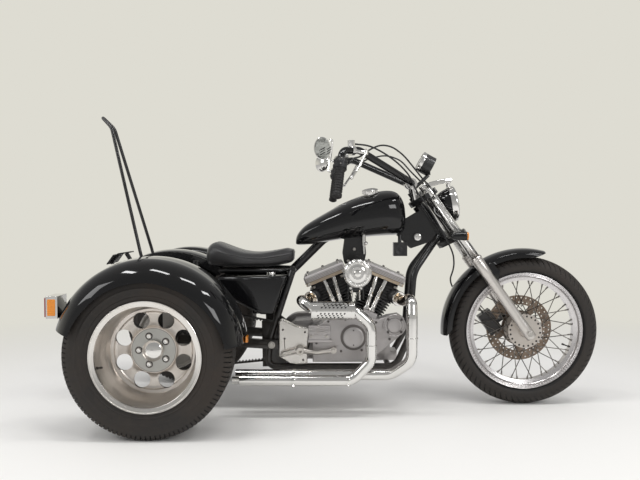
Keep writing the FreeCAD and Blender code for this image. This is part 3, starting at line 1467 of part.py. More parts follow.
def on_axle(name, start, end, wider):
    """A round piece on the front axle, wider than it by the given millimetres."""
    return rod(name, FRONT_AXLE + AXIS_Y * start, FRONT_AXLE + AXIS_Y * end, f"front_axle_radius + {wider}")


sliders = pair_of("slider", slider)
axle_end = leg_half + mm("slider_radius") + 3
axle_bore = rod("axle_bore", FRONT_AXLE - AXIS_Y * 200, FRONT_AXLE + AXIS_Y * 200,
                number("front_axle_radius") + gap)
bored_sliders = cut("fork_sliders_cut", together("slider_pair", sliders), axle_bore)
spacer_in = number(f"{flange} + 14") + gap
spacer_left = number("front_brake_offset + brake_thickness / 2") + gap
spacer_out = leg_half - mm("slider_radius") - gap
front_axle = fused("front_axle_fuse", [
    rod("axle_rod", FRONT_AXLE - AXIS_Y * axle_end, FRONT_AXLE + AXIS_Y * axle_end, "front_axle_radius"),
    on_axle("axle_head", -axle_end, 3 - axle_end, 5),
    on_axle("axle_nut", axle_end - 3, axle_end + 9, 6),
    on_axle("axle_spacer", -spacer_out, -spacer_in, 5),
    on_axle("axle_spacer_left", spacer_left, spacer_out, 4),
])
node(together("fork_sliders_set", [bored_sliders, front_axle]), "fork_sliders")


# Front fender and brake caliper

front_fender = turned("front_fender_body", [
    ("front_tyre_radius - 4", -63), ("front_tyre_radius + 16", -62, 60), ("front_tyre_radius + 34", -24, 120),
    ("front_tyre_radius + 34", 24, 60), ("front_tyre_radius + 16", 62), ("front_tyre_radius - 4", 63),
    ("front_tyre_radius - 4", 60), ("front_tyre_radius + 15", 59, -57), ("front_tyre_radius + 31", 23, -117),
    ("front_tyre_radius + 31", -23, -57), ("front_tyre_radius + 15", -59), ("front_tyre_radius - 4", -60),
], front_spin, 107, -183)


def fender_tab(name, side):
    """The plate that carries the front fender on a fork slider."""
    place = fork_place(0, 0, side * 63)
    return padded(name, "XZ_Plane", [
        (-20, 252), (24, 246), (58, 284), (50, 330), (10, 352), (-20, 340),
    ], 4, place)


def slider_lug(name, side):
    return rod(name, on_fork(284, 0, side * 64), on_fork(284, 0, side * (leg_half - mm("slider_radius") + 2.2)), 11)


fender_mounts = pair_of("fender_tab", fender_tab) + pair_of("slider_lug", slider_lug)
node(fused("front_fender_fuse", [front_fender] + fender_mounts), "front_fender")

caliper_along, caliper_back = 96, -92
brake_y = mm("front_brake_offset")
caliper = block("caliper_block", 62, 46, 104, on_fork(caliper_along, caliper_back, brake_y + 6), fork_turn)
caliper_slot = rod("caliper_slot", FRONT_AXLE + AXIS_Y * (brake_y - 5.5), FRONT_AXLE + AXIS_Y * (brake_y + 5.5),
                   number("front_brake_radius") + 4)
caliper_arm = block("caliper_arm", 60, 14, 60, on_fork(caliper_along, -44, brake_y + 21), fork_turn)
caliper_whole = fused("caliper_whole", [cut("caliper_open", caliper, caliper_slot), caliper_arm])
node(cut("caliper_cut", caliper_whole, rod("caliper_leg_room", on_fork(0, 0, leg_half), on_fork(300, 0, leg_half),
                                          number("slider_radius") + gap)), "brake_caliper")


# Handlebar: places are counted from the middle of the upper clamp

crown_top = on_head(0)


def by_crown(x, y, z):
    return crown_top + V(x, y, z)


bar_clamp = by_crown(-24, 0, 79.5)
bar_end = by_crown(-357, -428, 17)
bar_bend = by_crown(-334, -342, 197)
bar_knee = by_crown(-264, -276, 203)
bar_points = [bar_end, bar_bend, bar_knee, bar_clamp - AXIS_Y * 74, bar_clamp + AXIS_Y * 74,
              flip(bar_knee), flip(bar_bend), flip(bar_end)]
node(tube("handlebar_tube", bar_points, "bar_radius", [42, 60, 60, 60, 60, 42]), "handlebar")
grip_run = (bar_bend - bar_end).normalize()


def riser(name, side):
    """Chrome riser from the upper clamp to the handlebar."""
    foot = on_head(-clamp_half + 8, 0, side * 34)
    top = V(bar_clamp.x + 6, side * 34, bar_clamp.z - 10)
    stalk = rod(name + "_stalk", foot, top, 14)
    head = rod(name + "_head", V(bar_clamp.x, side * 18, bar_clamp.z), V(bar_clamp.x, side * 47, bar_clamp.z),
               number("bar_radius") + 9)
    below = block(name + "_below", 90, 60, 40, on_head(-clamp_half - gap + 20, 0, side * 34), fork_turn)
    whole = cut(name + "_level", fused(name + "_whole", [stalk, head]), below)
    return cut(name, whole, rod(name + "_bore", V(bar_clamp.x, side * 10, bar_clamp.z),
                                V(bar_clamp.x, side * 60, bar_clamp.z), number("bar_radius") + gap))


risers = pair_of("riser", riser)


def on_side(point, side):
    """A point or direction of the right side, taken over to the given side."""
    return point if side < 0 else flip(point)


def grip(name, side):
    end = on_side(bar_end, side)
    run = on_side(grip_run, side)
    sleeve = turned(name + "_sleeve", [
        ("0", -7), ("grip_radius - 4", -7), ("grip_radius", -2), ("grip_radius - 1.5", 12),
        ("grip_radius - 1", "grip_length - 10"), ("grip_radius + 4", "grip_length - 4"),
        ("grip_radius + 4", "grip_length"), ("0", "grip_length"),
    ], FreeCAD.Placement(end, FreeCAD.Rotation(AXIS_Y, run)))
    return cut(name, sleeve, rod(name + "_bore", end - run * gap, end + run * 200, number("bar_radius") + gap))


node(together("grips_set", pair_of("grip", grip)), "hand_grips")

CONTROL_LENGTH = 46


def control(name, side):
    """Split switch housing on the bar beside the grip."""
    end = on_side(bar_end, side)
    run = on_side(grip_run, side)
    start = end + run * (mm("grip_length") + gap)
    drum = turned(name + "_drum", [
        ("0", 0), (23, 0), (26, 4), (26, CONTROL_LENGTH - 6), (22, CONTROL_LENGTH), ("0", CONTROL_LENGTH),
    ], FreeCAD.Placement(start, FreeCAD.Rotation(AXIS_Y, run)))
    return cut(name, drum, rod(name + "_bore", start - run * 20, start + run * 70, number("bar_radius") + gap))


node(together("controls_set", pair_of("control", control)), "hand_controls")

# Lever perches sit on the level part of the bar, between its bend and its knee
perch_run = (bar_knee - bar_bend).normalize()
perch_middle = bar_bend + perch_run * 52
lever_pivot = by_crown(-240, -318, 190)
lever_tip = by_crown(-300, -404, 88)
reservoir = perch_middle + V(-2, -6, 34)
CUP_RADIUS = 15


def lever(name, side):
    """Clamp round the bar, reservoir above it, arm ahead of it and the lever."""
    middle = on_side(perch_middle, side)
    run = on_side(perch_run, side)
    root = on_side(lever_pivot, side)
    tip = on_side(lever_tip, side)
    top = on_side(reservoir, side)
    band = rod(name + "_band", middle - run * 9, middle + run * 9, "bar_radius + 6")
    arm_bar = rod(name + "_arm", middle + V(4, 0, -2), root, 8)
    pivot_pin = rod(name + "_pin", root - V(0, 0, 9), root + V(0, 0, 9), 9)
    cup = rod(name + "_cup", middle + V(0, 0, 14), top + V(0, 0, 4), CUP_RADIUS)
    blade = tube(name + "_blade", [root, root + (tip - root) * 0.55 + V(7, 0, 3), tip], 5.5, [160])
    knob = doc.addObject("Part::Sphere", name + "_knob")
    knob.Radius = 7.5
    knob.Placement = FreeCAD.Placement(tip, FreeCAD.Rotation())
    whole = fused(name + "_whole", [band, arm_bar, pivot_pin, cup, blade, knob])
    return cut(name, whole, rod(name + "_bore", middle - run * 30, middle + run * 30, number("bar_radius") + gap))


node(together("levers_set", pair_of("lever", lever)), "hand_levers")

mirror_head = by_crown(-410, -424, 198)
MIRROR_TOE = 52
MIRROR_HALF = (20, 41, 44)


def mirror(name, side):
    """Teardrop shell on a bent stem, its flat face turned to the rider."""
    run = on_side(grip_run, side)
    ball_start = on_side(bar_end, side) + run * (mm("grip_length") + CONTROL_LENGTH - 14)
    outward = (V(-1, 0, 0) + run * run.x).normalize()
    root = ball_start + outward * (26 + gap)
    head = on_side(mirror_head, side)
    rim = head + V(18, -side * 8, 24)
    stem = tube(name + "_stem", [root, root + outward * 16, rim + V(20, -side * 10, 14), rim], 4, [12, 16])
    lean = FreeCAD.Rotation(V(0, 0, 1), side * MIRROR_TOE)
    ball = doc.addObject("Part::Ellipsoid", name + "_ball")
    ball.Radius1 = MIRROR_HALF[2]
    ball.Radius2 = MIRROR_HALF[0]
    ball.Radius3 = MIRROR_HALF[1]
    ball.Placement = FreeCAD.Placement(head, lean)
    keep = block(name + "_keep", 60, 140, 140, head + lean.multVec(V(30 - 3, 0, 0)), lean)
    half_ball = doc.addObject("Part::Common", name + "_half")
    half_ball.Base = ball
    half_ball.Tool = keep
    return fused(name, [stem, half_ball])


node(together("mirrors_set", pair_of("mirror", mirror)), "mirrors")


# Cables: straight runs and arcs, held at both ends by what turns with the fork

def cable(name, points):
    """A cable through chosen points, each arc as large as its two runs allow."""
    bends = []
    for before, corner, after in zip(points, points[1:], points[2:]):
        turn_half = math.radians(180) - (before - corner).getAngle(after - corner)
        shorter = min((before - corner).Length, (after - corner).Length)
        bends.append(0.45 * shorter / math.tan(turn_half / 2))
    print(name, "radii", [round(bend) for bend in bends])
    return tube(name, points, "cable_radius", bends)


caliper_top = on_fork(148 + 2 * gap, -92, 78)
cup_side = perch_middle + V(-1, -3, 26) + V(1, 1, 0).normalize() * (CUP_RADIUS + 2)
clamp_lower = mm("fork_length") - mm("clamp_spacing")
brake_hose = cable("brake_hose", [
    cup_side, by_crown(-222, -258, 224), by_crown(-160, -218, 198), by_crown(-96, -178, 158),
    by_crown(-44, -142, 108), by_crown(-16, -130, 46), on_fork(mm("fork_length") - 6, -44, -127),
    on_fork(mm("fork_length") - 90, -46, -118), on_fork(clamp_lower + 30, -56, -114),
    on_fork(clamp_lower - 50, -66, -96), on_fork(clamp_lower - 114, -88, -14),
    on_fork(clamp_lower - 162, -132, 54), on_fork(clamp_lower - 222, -140, 80),
    on_fork(240, -110, 80), on_fork(196, -92, 78), caliper_top,
])


def behind_lamp(side):
    """The way of a cable over the upper clamp's front edge and down to the lower clamp."""
    return [by_crown(21, side * 55, 100), on_fork(mm("fork_length") + 30, 22, side * 48),
            on_fork(mm("fork_length") - 12, 27, side * 46), on_fork(mm("fork_length") - 62, 6, side * 52),
            on_fork(clamp_lower + 76, 4, side * 62), on_fork(clamp_lower + 12 + gap, 4, side * 62)]


clutch_cable = cable("clutch_cable", [
    flip(lever_pivot) + V(15, -10, 4), by_crown(-186, 268, 211), by_crown(-112, 196, 222),
    by_crown(-52, 118, 190), by_crown(-18, 74, 142),
] + behind_lamp(1))
throttle_cable = cable("throttle_cable", [
    bar_end + grip_run * (mm("grip_length") + 26) + V(31, 0, 0), by_crown(-288, -344, 168),
    by_crown(-262, -300, 174), by_crown(-220, -268, 208), by_crown(-172, -216, 231), by_crown(-120, -160, 228),
    by_crown(-65, -100, 197), by_crown(-20, -64, 150),
] + behind_lamp(-1))
node(together("cables_set", [brake_hose, clutch_cable, throttle_cable]), "control_cables")


# Speedometer, headlamp and signals

speedo_face = by_crown(20, 0, 177.5)
speedo_axis = V(-math.cos(math.radians(28)), 0, math.sin(math.radians(28)))
speedo_back = speedo_face - speedo_axis * mm("speedo_depth")
post_foot = on_head(-clamp_half - 36)
post = fused("speedo_stand", [
    rod("speedo_foot", on_head(-clamp_half - 14 - gap), post_foot, 10),
    rod("speedo_post", speedo_back + V(-14, 0, -34), post_foot, 8),
])
can = rod("speedo_can", speedo_back, speedo_face, "speedo_radius")
speedo_arm = rod("speedo_arm", speedo_back + V(-14, 0, -34), speedo_back + speedo_axis * 20, 10)
node(fused("speedo_fuse", [can, post, speedo_arm]), "speedometer")

lamp_radius = mm("headlamp_radius")
lamp_tilt = FreeCAD.Rotation(AXIS_Y, -9)
lamp_ahead = lamp_tilt.multVec(V(1, 0, 0))
lamp_rim = V(crown_top.x + 164, 0, mm("headlamp_height"))
lamp_place = FreeCAD.Placement(lamp_rim, FreeCAD.Rotation(AXIS_Y, lamp_ahead))
node(turned("headlamp_shell_body", [
    ("0", -86), (26, -84, 90), ("headlamp_radius - 6", -30), ("headlamp_radius", -16),
    ("headlamp_radius", 0), ("0", 0),
], lamp_place), "headlamp_shell")
node(turned("headlamp_lens_body", [
    ("0", "seat_gap"), ("headlamp_radius", "seat_gap"), ("headlamp_radius", 7),
    ("headlamp_radius - 6", 9, 150), (4, 24), ("0", 24),
], lamp_place), "headlamp_lens")
lamp_top = lamp_rim.z + lamp_radius
visor_place = FreeCAD.Placement(V(crown_top.x, 0, crown_top.z), FreeCAD.Rotation())
lamp_lift = lamp_top - crown_top.z
visor = rounded("visor_soft", padded("visor_blade", "XZ_Plane", [
    (20, 66), (40, 82), (96, 96), (150, lamp_lift + 41), (158, lamp_lift + 33), (152, lamp_lift + 20),
    (104, lamp_lift + 13), (64, 67), (28, 54),
], 38, visor_place), 3, lambda edge: abs(abs(edge.CenterOfMass.y) - 19) < 0.01 and edge.Length > 14)
visor_foot = rod("visor_foot", on_fork(fork_length + clamp_half + gap, -1, 0),
                 on_fork(fork_length + clamp_half + 32, -1, 0), 13)
visor_drop = rod("visor_drop", V(lamp_rim.x - 22, 0, lamp_top + 26), V(lamp_rim.x - 22, 0, lamp_top - 1), 9)
visor_whole = fused("visor_fuse", [visor, visor_foot, visor_drop])
node(together("top_brackets_set", risers + [visor_whole]), "risers_and_lamp_bracket")


def signal_spot(side):
    return on_fork(fork_length - mm("clamp_spacing") - 2, -4, side * (leg_half + 50))


def signal(name, side):
    """Bullet lamp beside the lower clamp."""
    spot = signal_spot(side)
    shell = turned(name + "_shell", [("0", -44), (8, -42, 40), (17, -20), (18, 24), ("0", 24)],
                   FreeCAD.Placement(spot, FreeCAD.Rotation(AXIS_Y, V(1, 0, 0))))
    clamp_side = V(spot.x, side * (leg_half + 27 + gap), spot.z)
    return fused(name, [shell, rod(name + "_arm", clamp_side, spot, 7)])


def signal_lens(name, side):
    spot = signal_spot(side) + V(24 + gap, 0, 0)
    return rod(name, spot, spot + V(6, 0, 0), 17)


node(together("signals_set", pair_of("signal", signal) + pair_of("signal_lens", signal_lens)), "front_signals")


# Write each sub-part to its own file

doc.recompute()
broken = [item.Name for item in doc.Objects if "Invalid" in item.State or "Error" in item.State]
if broken:
    raise RuntimeError("failed to compute: " + ", ".join(broken))
os.makedirs("parts", exist_ok=True)
for item in NODES:
    shape = item.Shape
    if shape.isNull() or not shape.isValid() or not shape.Solids:
        raise RuntimeError("bad shape: " + item.Label)
    shape.exportStep(os.path.join("parts", item.Label + ".step"))
    box = shape.BoundBox
    print(f"{item.Label}: {len(shape.Solids)} solids, x {box.XMin:.0f} {box.XMax:.0f}, "
          f"y {box.YMin:.0f} {box.YMax:.0f}, z {box.ZMin:.0f} {box.ZMax:.0f}")
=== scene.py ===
"""Motorized trike: finishes and fine parts round the construction frame. Metres; +X forward, +Y left, +Z up."""
import json
import math

import bmesh
import bpy
import numpy as np
from bpy.props import FloatProperty, FloatVectorProperty, IntProperty, PointerProperty
from bpy.types import Operator, Panel, PropertyGroup
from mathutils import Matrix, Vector


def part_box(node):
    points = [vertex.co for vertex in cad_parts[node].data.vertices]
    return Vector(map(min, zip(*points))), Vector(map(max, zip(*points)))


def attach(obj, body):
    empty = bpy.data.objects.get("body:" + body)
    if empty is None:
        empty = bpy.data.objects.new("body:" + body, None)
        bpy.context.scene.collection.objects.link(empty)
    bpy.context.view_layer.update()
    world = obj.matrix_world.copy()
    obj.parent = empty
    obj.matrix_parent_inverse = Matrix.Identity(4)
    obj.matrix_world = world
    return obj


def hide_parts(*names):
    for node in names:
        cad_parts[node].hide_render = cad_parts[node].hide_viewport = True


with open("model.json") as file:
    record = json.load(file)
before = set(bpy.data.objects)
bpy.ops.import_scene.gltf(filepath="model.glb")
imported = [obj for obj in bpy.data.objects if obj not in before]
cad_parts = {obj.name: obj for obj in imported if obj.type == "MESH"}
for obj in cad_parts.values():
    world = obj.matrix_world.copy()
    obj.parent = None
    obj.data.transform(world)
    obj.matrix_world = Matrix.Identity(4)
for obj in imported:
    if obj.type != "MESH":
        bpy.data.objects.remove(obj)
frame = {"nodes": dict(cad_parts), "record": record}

bl_info = {
    "name": "Motorized Trike",
    "version": (1, 0, 0),
    "blender": (4, 5, 0),
    "location": "3D View > Sidebar > Trike",
    "description": "Finishes and fine parts of a motorized trike round its construction frame",
    "category": "Object",
}

MM = 0.001
TAU = 2 * math.pi
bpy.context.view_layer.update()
BODY_OF = {node: body for body, nodes in frame["record"]["behaviour"]["bodies"].items() for node in nodes}


def corners(node):
    """Lowest and highest corner of a frame node as arrays."""
    low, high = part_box(node)
    return np.array(low), np.array(high)


def middle(node):
    """The middle of a frame node's box."""
    return sum(corners(node)) / 2


FRONT_AXLE = middle("front_rim")
RIGHT_AXLE = middle("right_wheel")
LEFT_AXLE = middle("left_wheel")
REAR_AXLE = (RIGHT_AXLE + LEFT_AXLE) / 2
X, Y, Z = np.eye(3)
RAKE = math.radians(35.4)
FORK_UP = np.array([-math.sin(RAKE), 0, math.cos(RAKE)])
FORK_AHEAD = np.array([math.cos(RAKE), 0, math.sin(RAKE)])


def at(x, y, z):
    """A place in millimetres as an array in metres."""
    return np.array([x, y, z], float) * MM


def on_fork(along, ahead=0.0, across=0.0):
    """A place by its distance in millimetres up the fork from the axle, ahead of it and across."""
    return FRONT_AXLE + (FORK_UP * along + FORK_AHEAD * ahead + Y * across) * MM


def wheelwise(angle):
    """Direction in a wheel's plane, turned from +X towards +Z."""
    return np.array([math.cos(angle), 0, math.sin(angle)])


# Arrays into shapes: places in metres, profiles, outlines and radii in millimetres

def unit(v):
    """Vectors brought to length one."""
    v = np.asarray(v, float)
    return v / np.linalg.norm(v, axis=-1, keepdims=True)


def across(axis):
    """Two directions square to an axis."""
    u = unit(np.cross(axis, Z if abs(axis[2]) < 0.9 else X))
    return u, np.cross(axis, u)


def around(count):
    """Angles of one turn in even steps, as a column."""
    return np.linspace(0, TAU, count, endpoint=False)[:, None]


def circle(x, y, radius, count):
    """Points round a circle, or an ellipse of two radii."""
    t = around(count)
    return np.array([x, y]) + radius * np.concatenate([np.cos(t), np.sin(t)], 1)


def quads(rows, columns, close_rows=False, close_columns=True):
    """Corner numbers of a grid's faces; a closed direction joins its last line to its first."""
    r0, c0 = np.meshgrid(np.arange(rows if close_rows else rows - 1),
                         np.arange(columns if close_columns else columns - 1), indexing="ij")
    r1, c1 = (r0 + 1) % rows, (c0 + 1) % columns
    return np.stack([r0 * columns + c0, r1 * columns + c0, r1 * columns + c1, r0 * columns + c1], -1).reshape(-1, 4)


def capped(rows, count):
    """Faces of a tube of rings, closed by fans round two more points, one for each end."""
    here, last = np.arange(count), (rows - 1) * count
    after, pole = (here + 1) % count, np.full(count, rows * count)
    return (quads(rows, count), np.stack([pole, after, here], -1),
            np.stack([pole + 1, last + here, last + after], -1))


def volume(points, groups):
    """Signed volume: the sum over triangles of a . (b x c) / 6."""
    total = 0.0
    for group in groups:
        for i in range(1, group.shape[1] - 1):
            a, b, c = points[group[:, 0]], points[group[:, i]], points[group[:, i + 1]]
            total += np.einsum("ij,ij->i", a, np.cross(b, c)).sum() / 6
    return total


class Shape:
    """Closed surfaces collected as arrays and made into one mesh object."""

    def __init__(self):
        """Start with nothing."""
        self.points, self.groups, self.count = [], [], 0

    def add(self, points, *groups):
        """Take points and face arrays; a closed surface that is inside out is turned round."""
        points = np.asarray(points, float).reshape(-1, 3)
        if volume(points - points.mean(0), groups) < 0:
            groups = [g[:, ::-1] for g in groups]
        self.points.append(points)
        self.groups += [g + self.count for g in groups]
        self.count += len(points)
        return self

    def array(self, other, shifts):
        """Copy another shape by arrays of (rotation 3x3, place)."""
        base = np.concatenate(other.points)
        for turn, place in shifts:
            self.points.append(base @ np.asarray(turn).T + place)
            self.groups += [g + self.count for g in other.groups]
            self.count += len(base)
        return self

    def make(self, name, node, finish, replaces=(), sharp=38.0, body=None):
        """Put the arrays into a mesh and place it."""
        points = np.concatenate(self.points)
        loops = np.concatenate([g.ravel() for g in self.groups])
        sizes = np.concatenate([np.full(len(g), g.shape[1]) for g in self.groups])
        mesh = bpy.data.meshes.new(name)
        mesh.vertices.add(len(points))
        mesh.vertices.foreach_set("co", points.astype(np.float32).ravel())
        mesh.loops.add(len(loops))
        mesh.loops.foreach_set("vertex_index", loops.astype(np.int32))
        mesh.polygons.add(len(sizes))
        mesh.polygons.foreach_set("loop_start", np.concatenate([[0], np.cumsum(sizes)[:-1]]).astype(np.int32))
        mesh.update(calc_edges=True)
        mesh.validate()
        return place_mesh(name, mesh, node, finish, replaces, sharp, body)


def place_mesh(name, mesh, node, finish, replaces=(), sharp=38.0, body=None):
    """Link a mesh as a piece with a finish; it rides with the node's body, and the nodes that it replaces are hidden.
    """
    mesh.shade_smooth()
    mesh.set_sharp_from_angle(angle=math.radians(sharp))
    mesh.materials.append(FINISHES[finish])
    piece = bpy.data.objects.new(name, mesh)
    bpy.context.scene.collection.objects.link(piece)
    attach(piece, body or BODY_OF[node])
    if replaces:
        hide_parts(*replaces)
    return piece


def lathe(shape, profile, centre, axis, count=48):
    """Turn (along, radius) corners: point = centre + along * axis + radius * (cos t * u + sin t * w)."""
    profile = np.asarray(profile, float) * MM
    axis, t = unit(axis), around(count)
    u, w = across(axis)
    rings = profile[profile[:, 1] > 1e-7][:, None]
    body = rings[..., :1] * axis + rings[..., 1:] * (np.cos(t) * u + np.sin(t) * w)
    ends = profile[[0, -1], :1] * axis
    return shape.add(np.concatenate([body.reshape(-1, 3), ends]) + centre, *capped(len(rings), count))


def ring(shape, section, centre, axis, count=64):
    """Turn a closed section of (along, radius) corners into a ring."""
    section = np.asarray(section, float)[:, None] * MM
    axis, t = unit(axis), around(count)
    u, w = across(axis)
    points = section[..., :1] * axis + section[..., 1:] * (np.cos(t) * u + np.sin(t) * w) + centre
    return shape.add(points, quads(len(section), count, True, True))


def tube(shape, path, radius, sides=12, flat=1.0):
    """Carry a circle of the given radius, or radii, along a path, squashed by flat across its plane."""
    path, t = np.asarray(path, float), around(sides)
    tangent = unit(np.gradient(path, axis=0))
    centred = path - path.mean(0)
    plane = np.linalg.svd(centred, full_matrices=False)[2][2] if len(path) > 2 else across(tangent[0])[0]
    side = unit(plane - (tangent @ plane)[:, None] * tangent)
    up = np.cross(tangent, side)
    radii = np.broadcast_to(np.asarray(radius, float) * MM, (len(path),))[:, None, None]
    body = path[:, None] + radii * (np.cos(t) * side[:, None] * flat + np.sin(t) * up[:, None])
    return shape.add(np.concatenate([body.reshape(-1, 3), path[:1], path[-1:]]), *capped(len(path), sides))


def curve_through(points, count=60):
    """A smooth line through points: Catmull-Rom weights on an even parameter."""
    p = np.asarray(points, float)
    p = np.concatenate([[2 * p[0] - p[1]], p, [2 * p[-1] - p[-2]]])
    t = np.linspace(0, len(p) - 3, count)
    i = np.minimum(t.astype(int), len(p) - 4)
    f = (t - i)[:, None]
    a, b, c, d = p[i], p[i + 1], p[i + 2], p[i + 3]
    return 0.5 * (2 * b + (c - a) * f + (2 * a - 5 * b + 4 * c - d) * f ** 2 + (3 * b - a - 3 * c + d) * f ** 3)


def softened(outline, radius, steps=5):
    """Round each corner of a flat outline with an arc of short runs."""
    outline = np.asarray(outline, float)
    before, after = np.roll(outline, 1, 0), np.roll(outline, -1, 0)
    reach = np.minimum(radius, 0.45 * np.minimum(np.linalg.norm(before - outline, axis=1),
                                                 np.linalg.norm(after - outline, axis=1)))[:, None]
    a = outline + unit(before - outline) * reach
    b = outline + unit(after - outline) * reach
    f = np.linspace(0, 1, steps)[None, :, None]
    bend = (1 - f) ** 2 * a[:, None] + 2 * f * (1 - f) * outline[:, None] + f ** 2 * b[:, None]
    return bend.reshape(-1, 2)


def plate(shape, outline, low, high, place, u, w, edge=0.0):
    """A flat outline made thick from low to high along u x w, its rims rounded by edge."""
    outline, normal = np.asarray(outline, float) * MM, np.cross(u, w)
    low, high, edge = low * MM, high * MM, edge * MM
    run = np.roll(outline, -1, 0) - np.roll(outline, 1, 0)
    out = unit(np.stack([run[:, 1], -run[:, 0]], -1))
    area = np.sum(outline[:, 0] * np.roll(outline[:, 1], -1) - np.roll(outline[:, 0], -1) * outline[:, 1])
    out = out * math.copysign(1.0, area)
    half = edge * 0.3
    steps = np.array([(-edge, low), (-half, low + half), (0.0, low + edge), (0.0, high - edge), (-half, high - half),
                      (-edge, high)] if edge else [(0.0, low), (0.0, high)])[:, :, None, None]
    flat = outline + out * steps[:, 0]
    points = place + flat[..., :1] * u + flat[..., 1:] * w + steps[:, 1] * normal
    n = len(outline)
    caps = [np.arange(n)[None, ::-1], (len(steps) - 1) * n + np.arange(n)[None]]
    return shape.add(points, quads(len(steps), n), *caps)


def turn_to(axis):
    """Rotation whose third column is the axis."""
    axis = unit(axis)
    u, w = across(axis)
    return np.stack([w, -u, axis], 1) if np.dot(np.cross(w, -u), axis) > 0 else np.stack([u, w, axis], 1)


def hex_bolt(size):
    """A flanged hexagon head of the given size across corners, rising along +Z."""
    r = size / 2
    shape = lathe(Shape(), [(0, r * 1.25), (r * 0.2, r * 1.25), (r * 0.26, r * 1.05)], 0 * Z, Z, 18)
    return lathe(shape, [(r * 0.2, r), (r * 1.0, r), (r * 1.18, r * 0.82)], 0 * Z, Z, 6)


def socket_bolt(size):
    """A round head with a six-sided recess, rising along +Z."""
    r = size / 2
    outline = [(0, r), (r * 0.95, r), (r * 1.15, r * 0.85), (r * 1.15, r * 0.5), (r * 0.6, r * 0.5)]
    return lathe(Shape(), outline, 0 * Z, Z, 18)


def bolts(shape, kind, spots, axis):
    """Copies of one bolt at spots, all facing along an axis."""
    return shape.array(kind, [(turn_to(axis), spot) for spot in spots])


def wheel_turns(count, start=0.0):
    """Rotations about the Y axis in even steps."""
    for step in range(count):
        a = start + TAU * step / count
        yield np.array([[math.cos(a), 0, math.sin(a)], [0, 1, 0], [-math.sin(a), 0, math.cos(a)]])


def dressed(node, finish, bevel=0.0, sharp=32.0, name=None, keep=None, stands=True):
    """A frame node's own mesh, or the part that keep picks, merged and smoothed, with its corners bevelled."""
    mesh = frame["nodes"][node].data.copy()
    mesh.materials.clear()
    work = bmesh.new()
    work.from_mesh(mesh)
    bmesh.ops.remove_doubles(work, verts=work.verts, dist=2e-6)
    bmesh.ops.dissolve_degenerate(work, edges=work.edges, dist=1e-6)
    if keep:
        bmesh.ops.delete(work, geom=[v for v in work.verts if not keep(v.co)], context="VERTS")
    bmesh.ops.recalc_face_normals(work, faces=work.faces)
    work.to_mesh(mesh)
    work.free()
    for layer in list(mesh.uv_layers):
        mesh.uv_layers.remove(layer)
    piece = place_mesh(name or node + "_finished", mesh, node, finish, (node,) if stands else (), sharp)
    if bevel:
        cut = piece.modifiers.new("Corners", "BEVEL")
        cut.width = bevel * MM
        cut.segments = 2
        cut.limit_method = "ANGLE"
        cut.angle_limit = math.radians(42)
        cut.harden_normals = True
    return piece


def trimmed(piece, cuts):
    """Cut a closed mesh by planes, each only among the faces that its test picks, and close the cuts."""
    work = bmesh.new()
    work.from_mesh(piece.data)
    for place, normal, near in cuts:
        faces = [face for face in work.faces if near(face.calc_center_median())]
        geometry = [*dict.fromkeys(v for f in faces for v in f.verts),
                    *dict.fromkeys(e for f in faces for e in f.edges), *faces]
        cut = bmesh.ops.bisect_plane(work, geom=geometry, dist=1e-6, plane_co=place, plane_no=normal,
                                     clear_outer=True)
        edges = [item for item in cut["geom_cut"] if isinstance(item, bmesh.types.BMEdge)]
        bmesh.ops.triangle_fill(work, use_beauty=True, edges=edges)
    bmesh.ops.recalc_face_normals(work, faces=work.faces)
    work.to_mesh(piece.data)
    work.free()
    piece.data.shade_smooth()
    piece.data.set_sharp_from_angle(angle=math.radians(32))


# Sizes and colours that a user would change

def tint_setting(name, description, default):
    """A colour that a user can set."""
    return FloatVectorProperty(name=name, description=description, default=default, subtype="COLOR", size=3,
                               min=0, max=1)


def length_setting(name, description, default):
    """A length that a user can set."""
    return FloatProperty(name=name, description=description, default=default, unit="LENGTH")


class TrikeFinish(PropertyGroup):
    """Colours and wear of the machine."""
    paint: tint_setting("Body paint", "Colour of tank, fenders and side covers", (0.0045, 0.0045, 0.005))
    cast: tint_setting("Engine covers", "Colour of the powder-coated castings", (0.43, 0.41, 0.405))
    turned: tint_setting("Rear wheels", "Colour of the machined rear wheels", (0.70, 0.655, 0.61))
    chrome: tint_setting("Chrome", "Colour of the plated parts", (0.80, 0.79, 0.77))
    rubber: tint_setting("Tyres", "Colour of the tyre rubber", (0.021, 0.0183, 0.0165))
    dust: tint_setting("Dust", "Colour of road dust", (0.20, 0.155, 0.115))
    seat: tint_setting("Seat cover", "Colour of the seat vinyl", (0.014, 0.0135, 0.014))
    amber: tint_setting("Amber lens", "Colour of signal and side lenses", (1.0, 0.33, 0.015))
    red: tint_setting("Red lens", "Colour of the tail lenses", (0.32, 0.015, 0.02))
    wear: FloatProperty(name="Wear", description="Share of dust, scratches and stains",
                        default=0.5, min=0, max=1, subtype="FACTOR")


class TrikeShapes(PropertyGroup):
    """Sizes of the fine parts."""
    tread_depth: length_setting("Tread depth", "Depth of the grooves of the tyres", 5.0 * MM)
    front_strokes: IntProperty(name="Front tread strokes", description="Slanted grooves round each shoulder",
                               default=72, min=12)
    rear_blocks: IntProperty(name="Rear tread blocks", description="Shoulder blocks round each rear tyre",
                             default=104, min=24)
    seat_bulge: length_setting("Seat bulge", "How far the seat's sides swell", 5.0 * MM)
    bolt_size: length_setting("Bolt size", "Width of a hexagon head over its corners", 14 * MM)


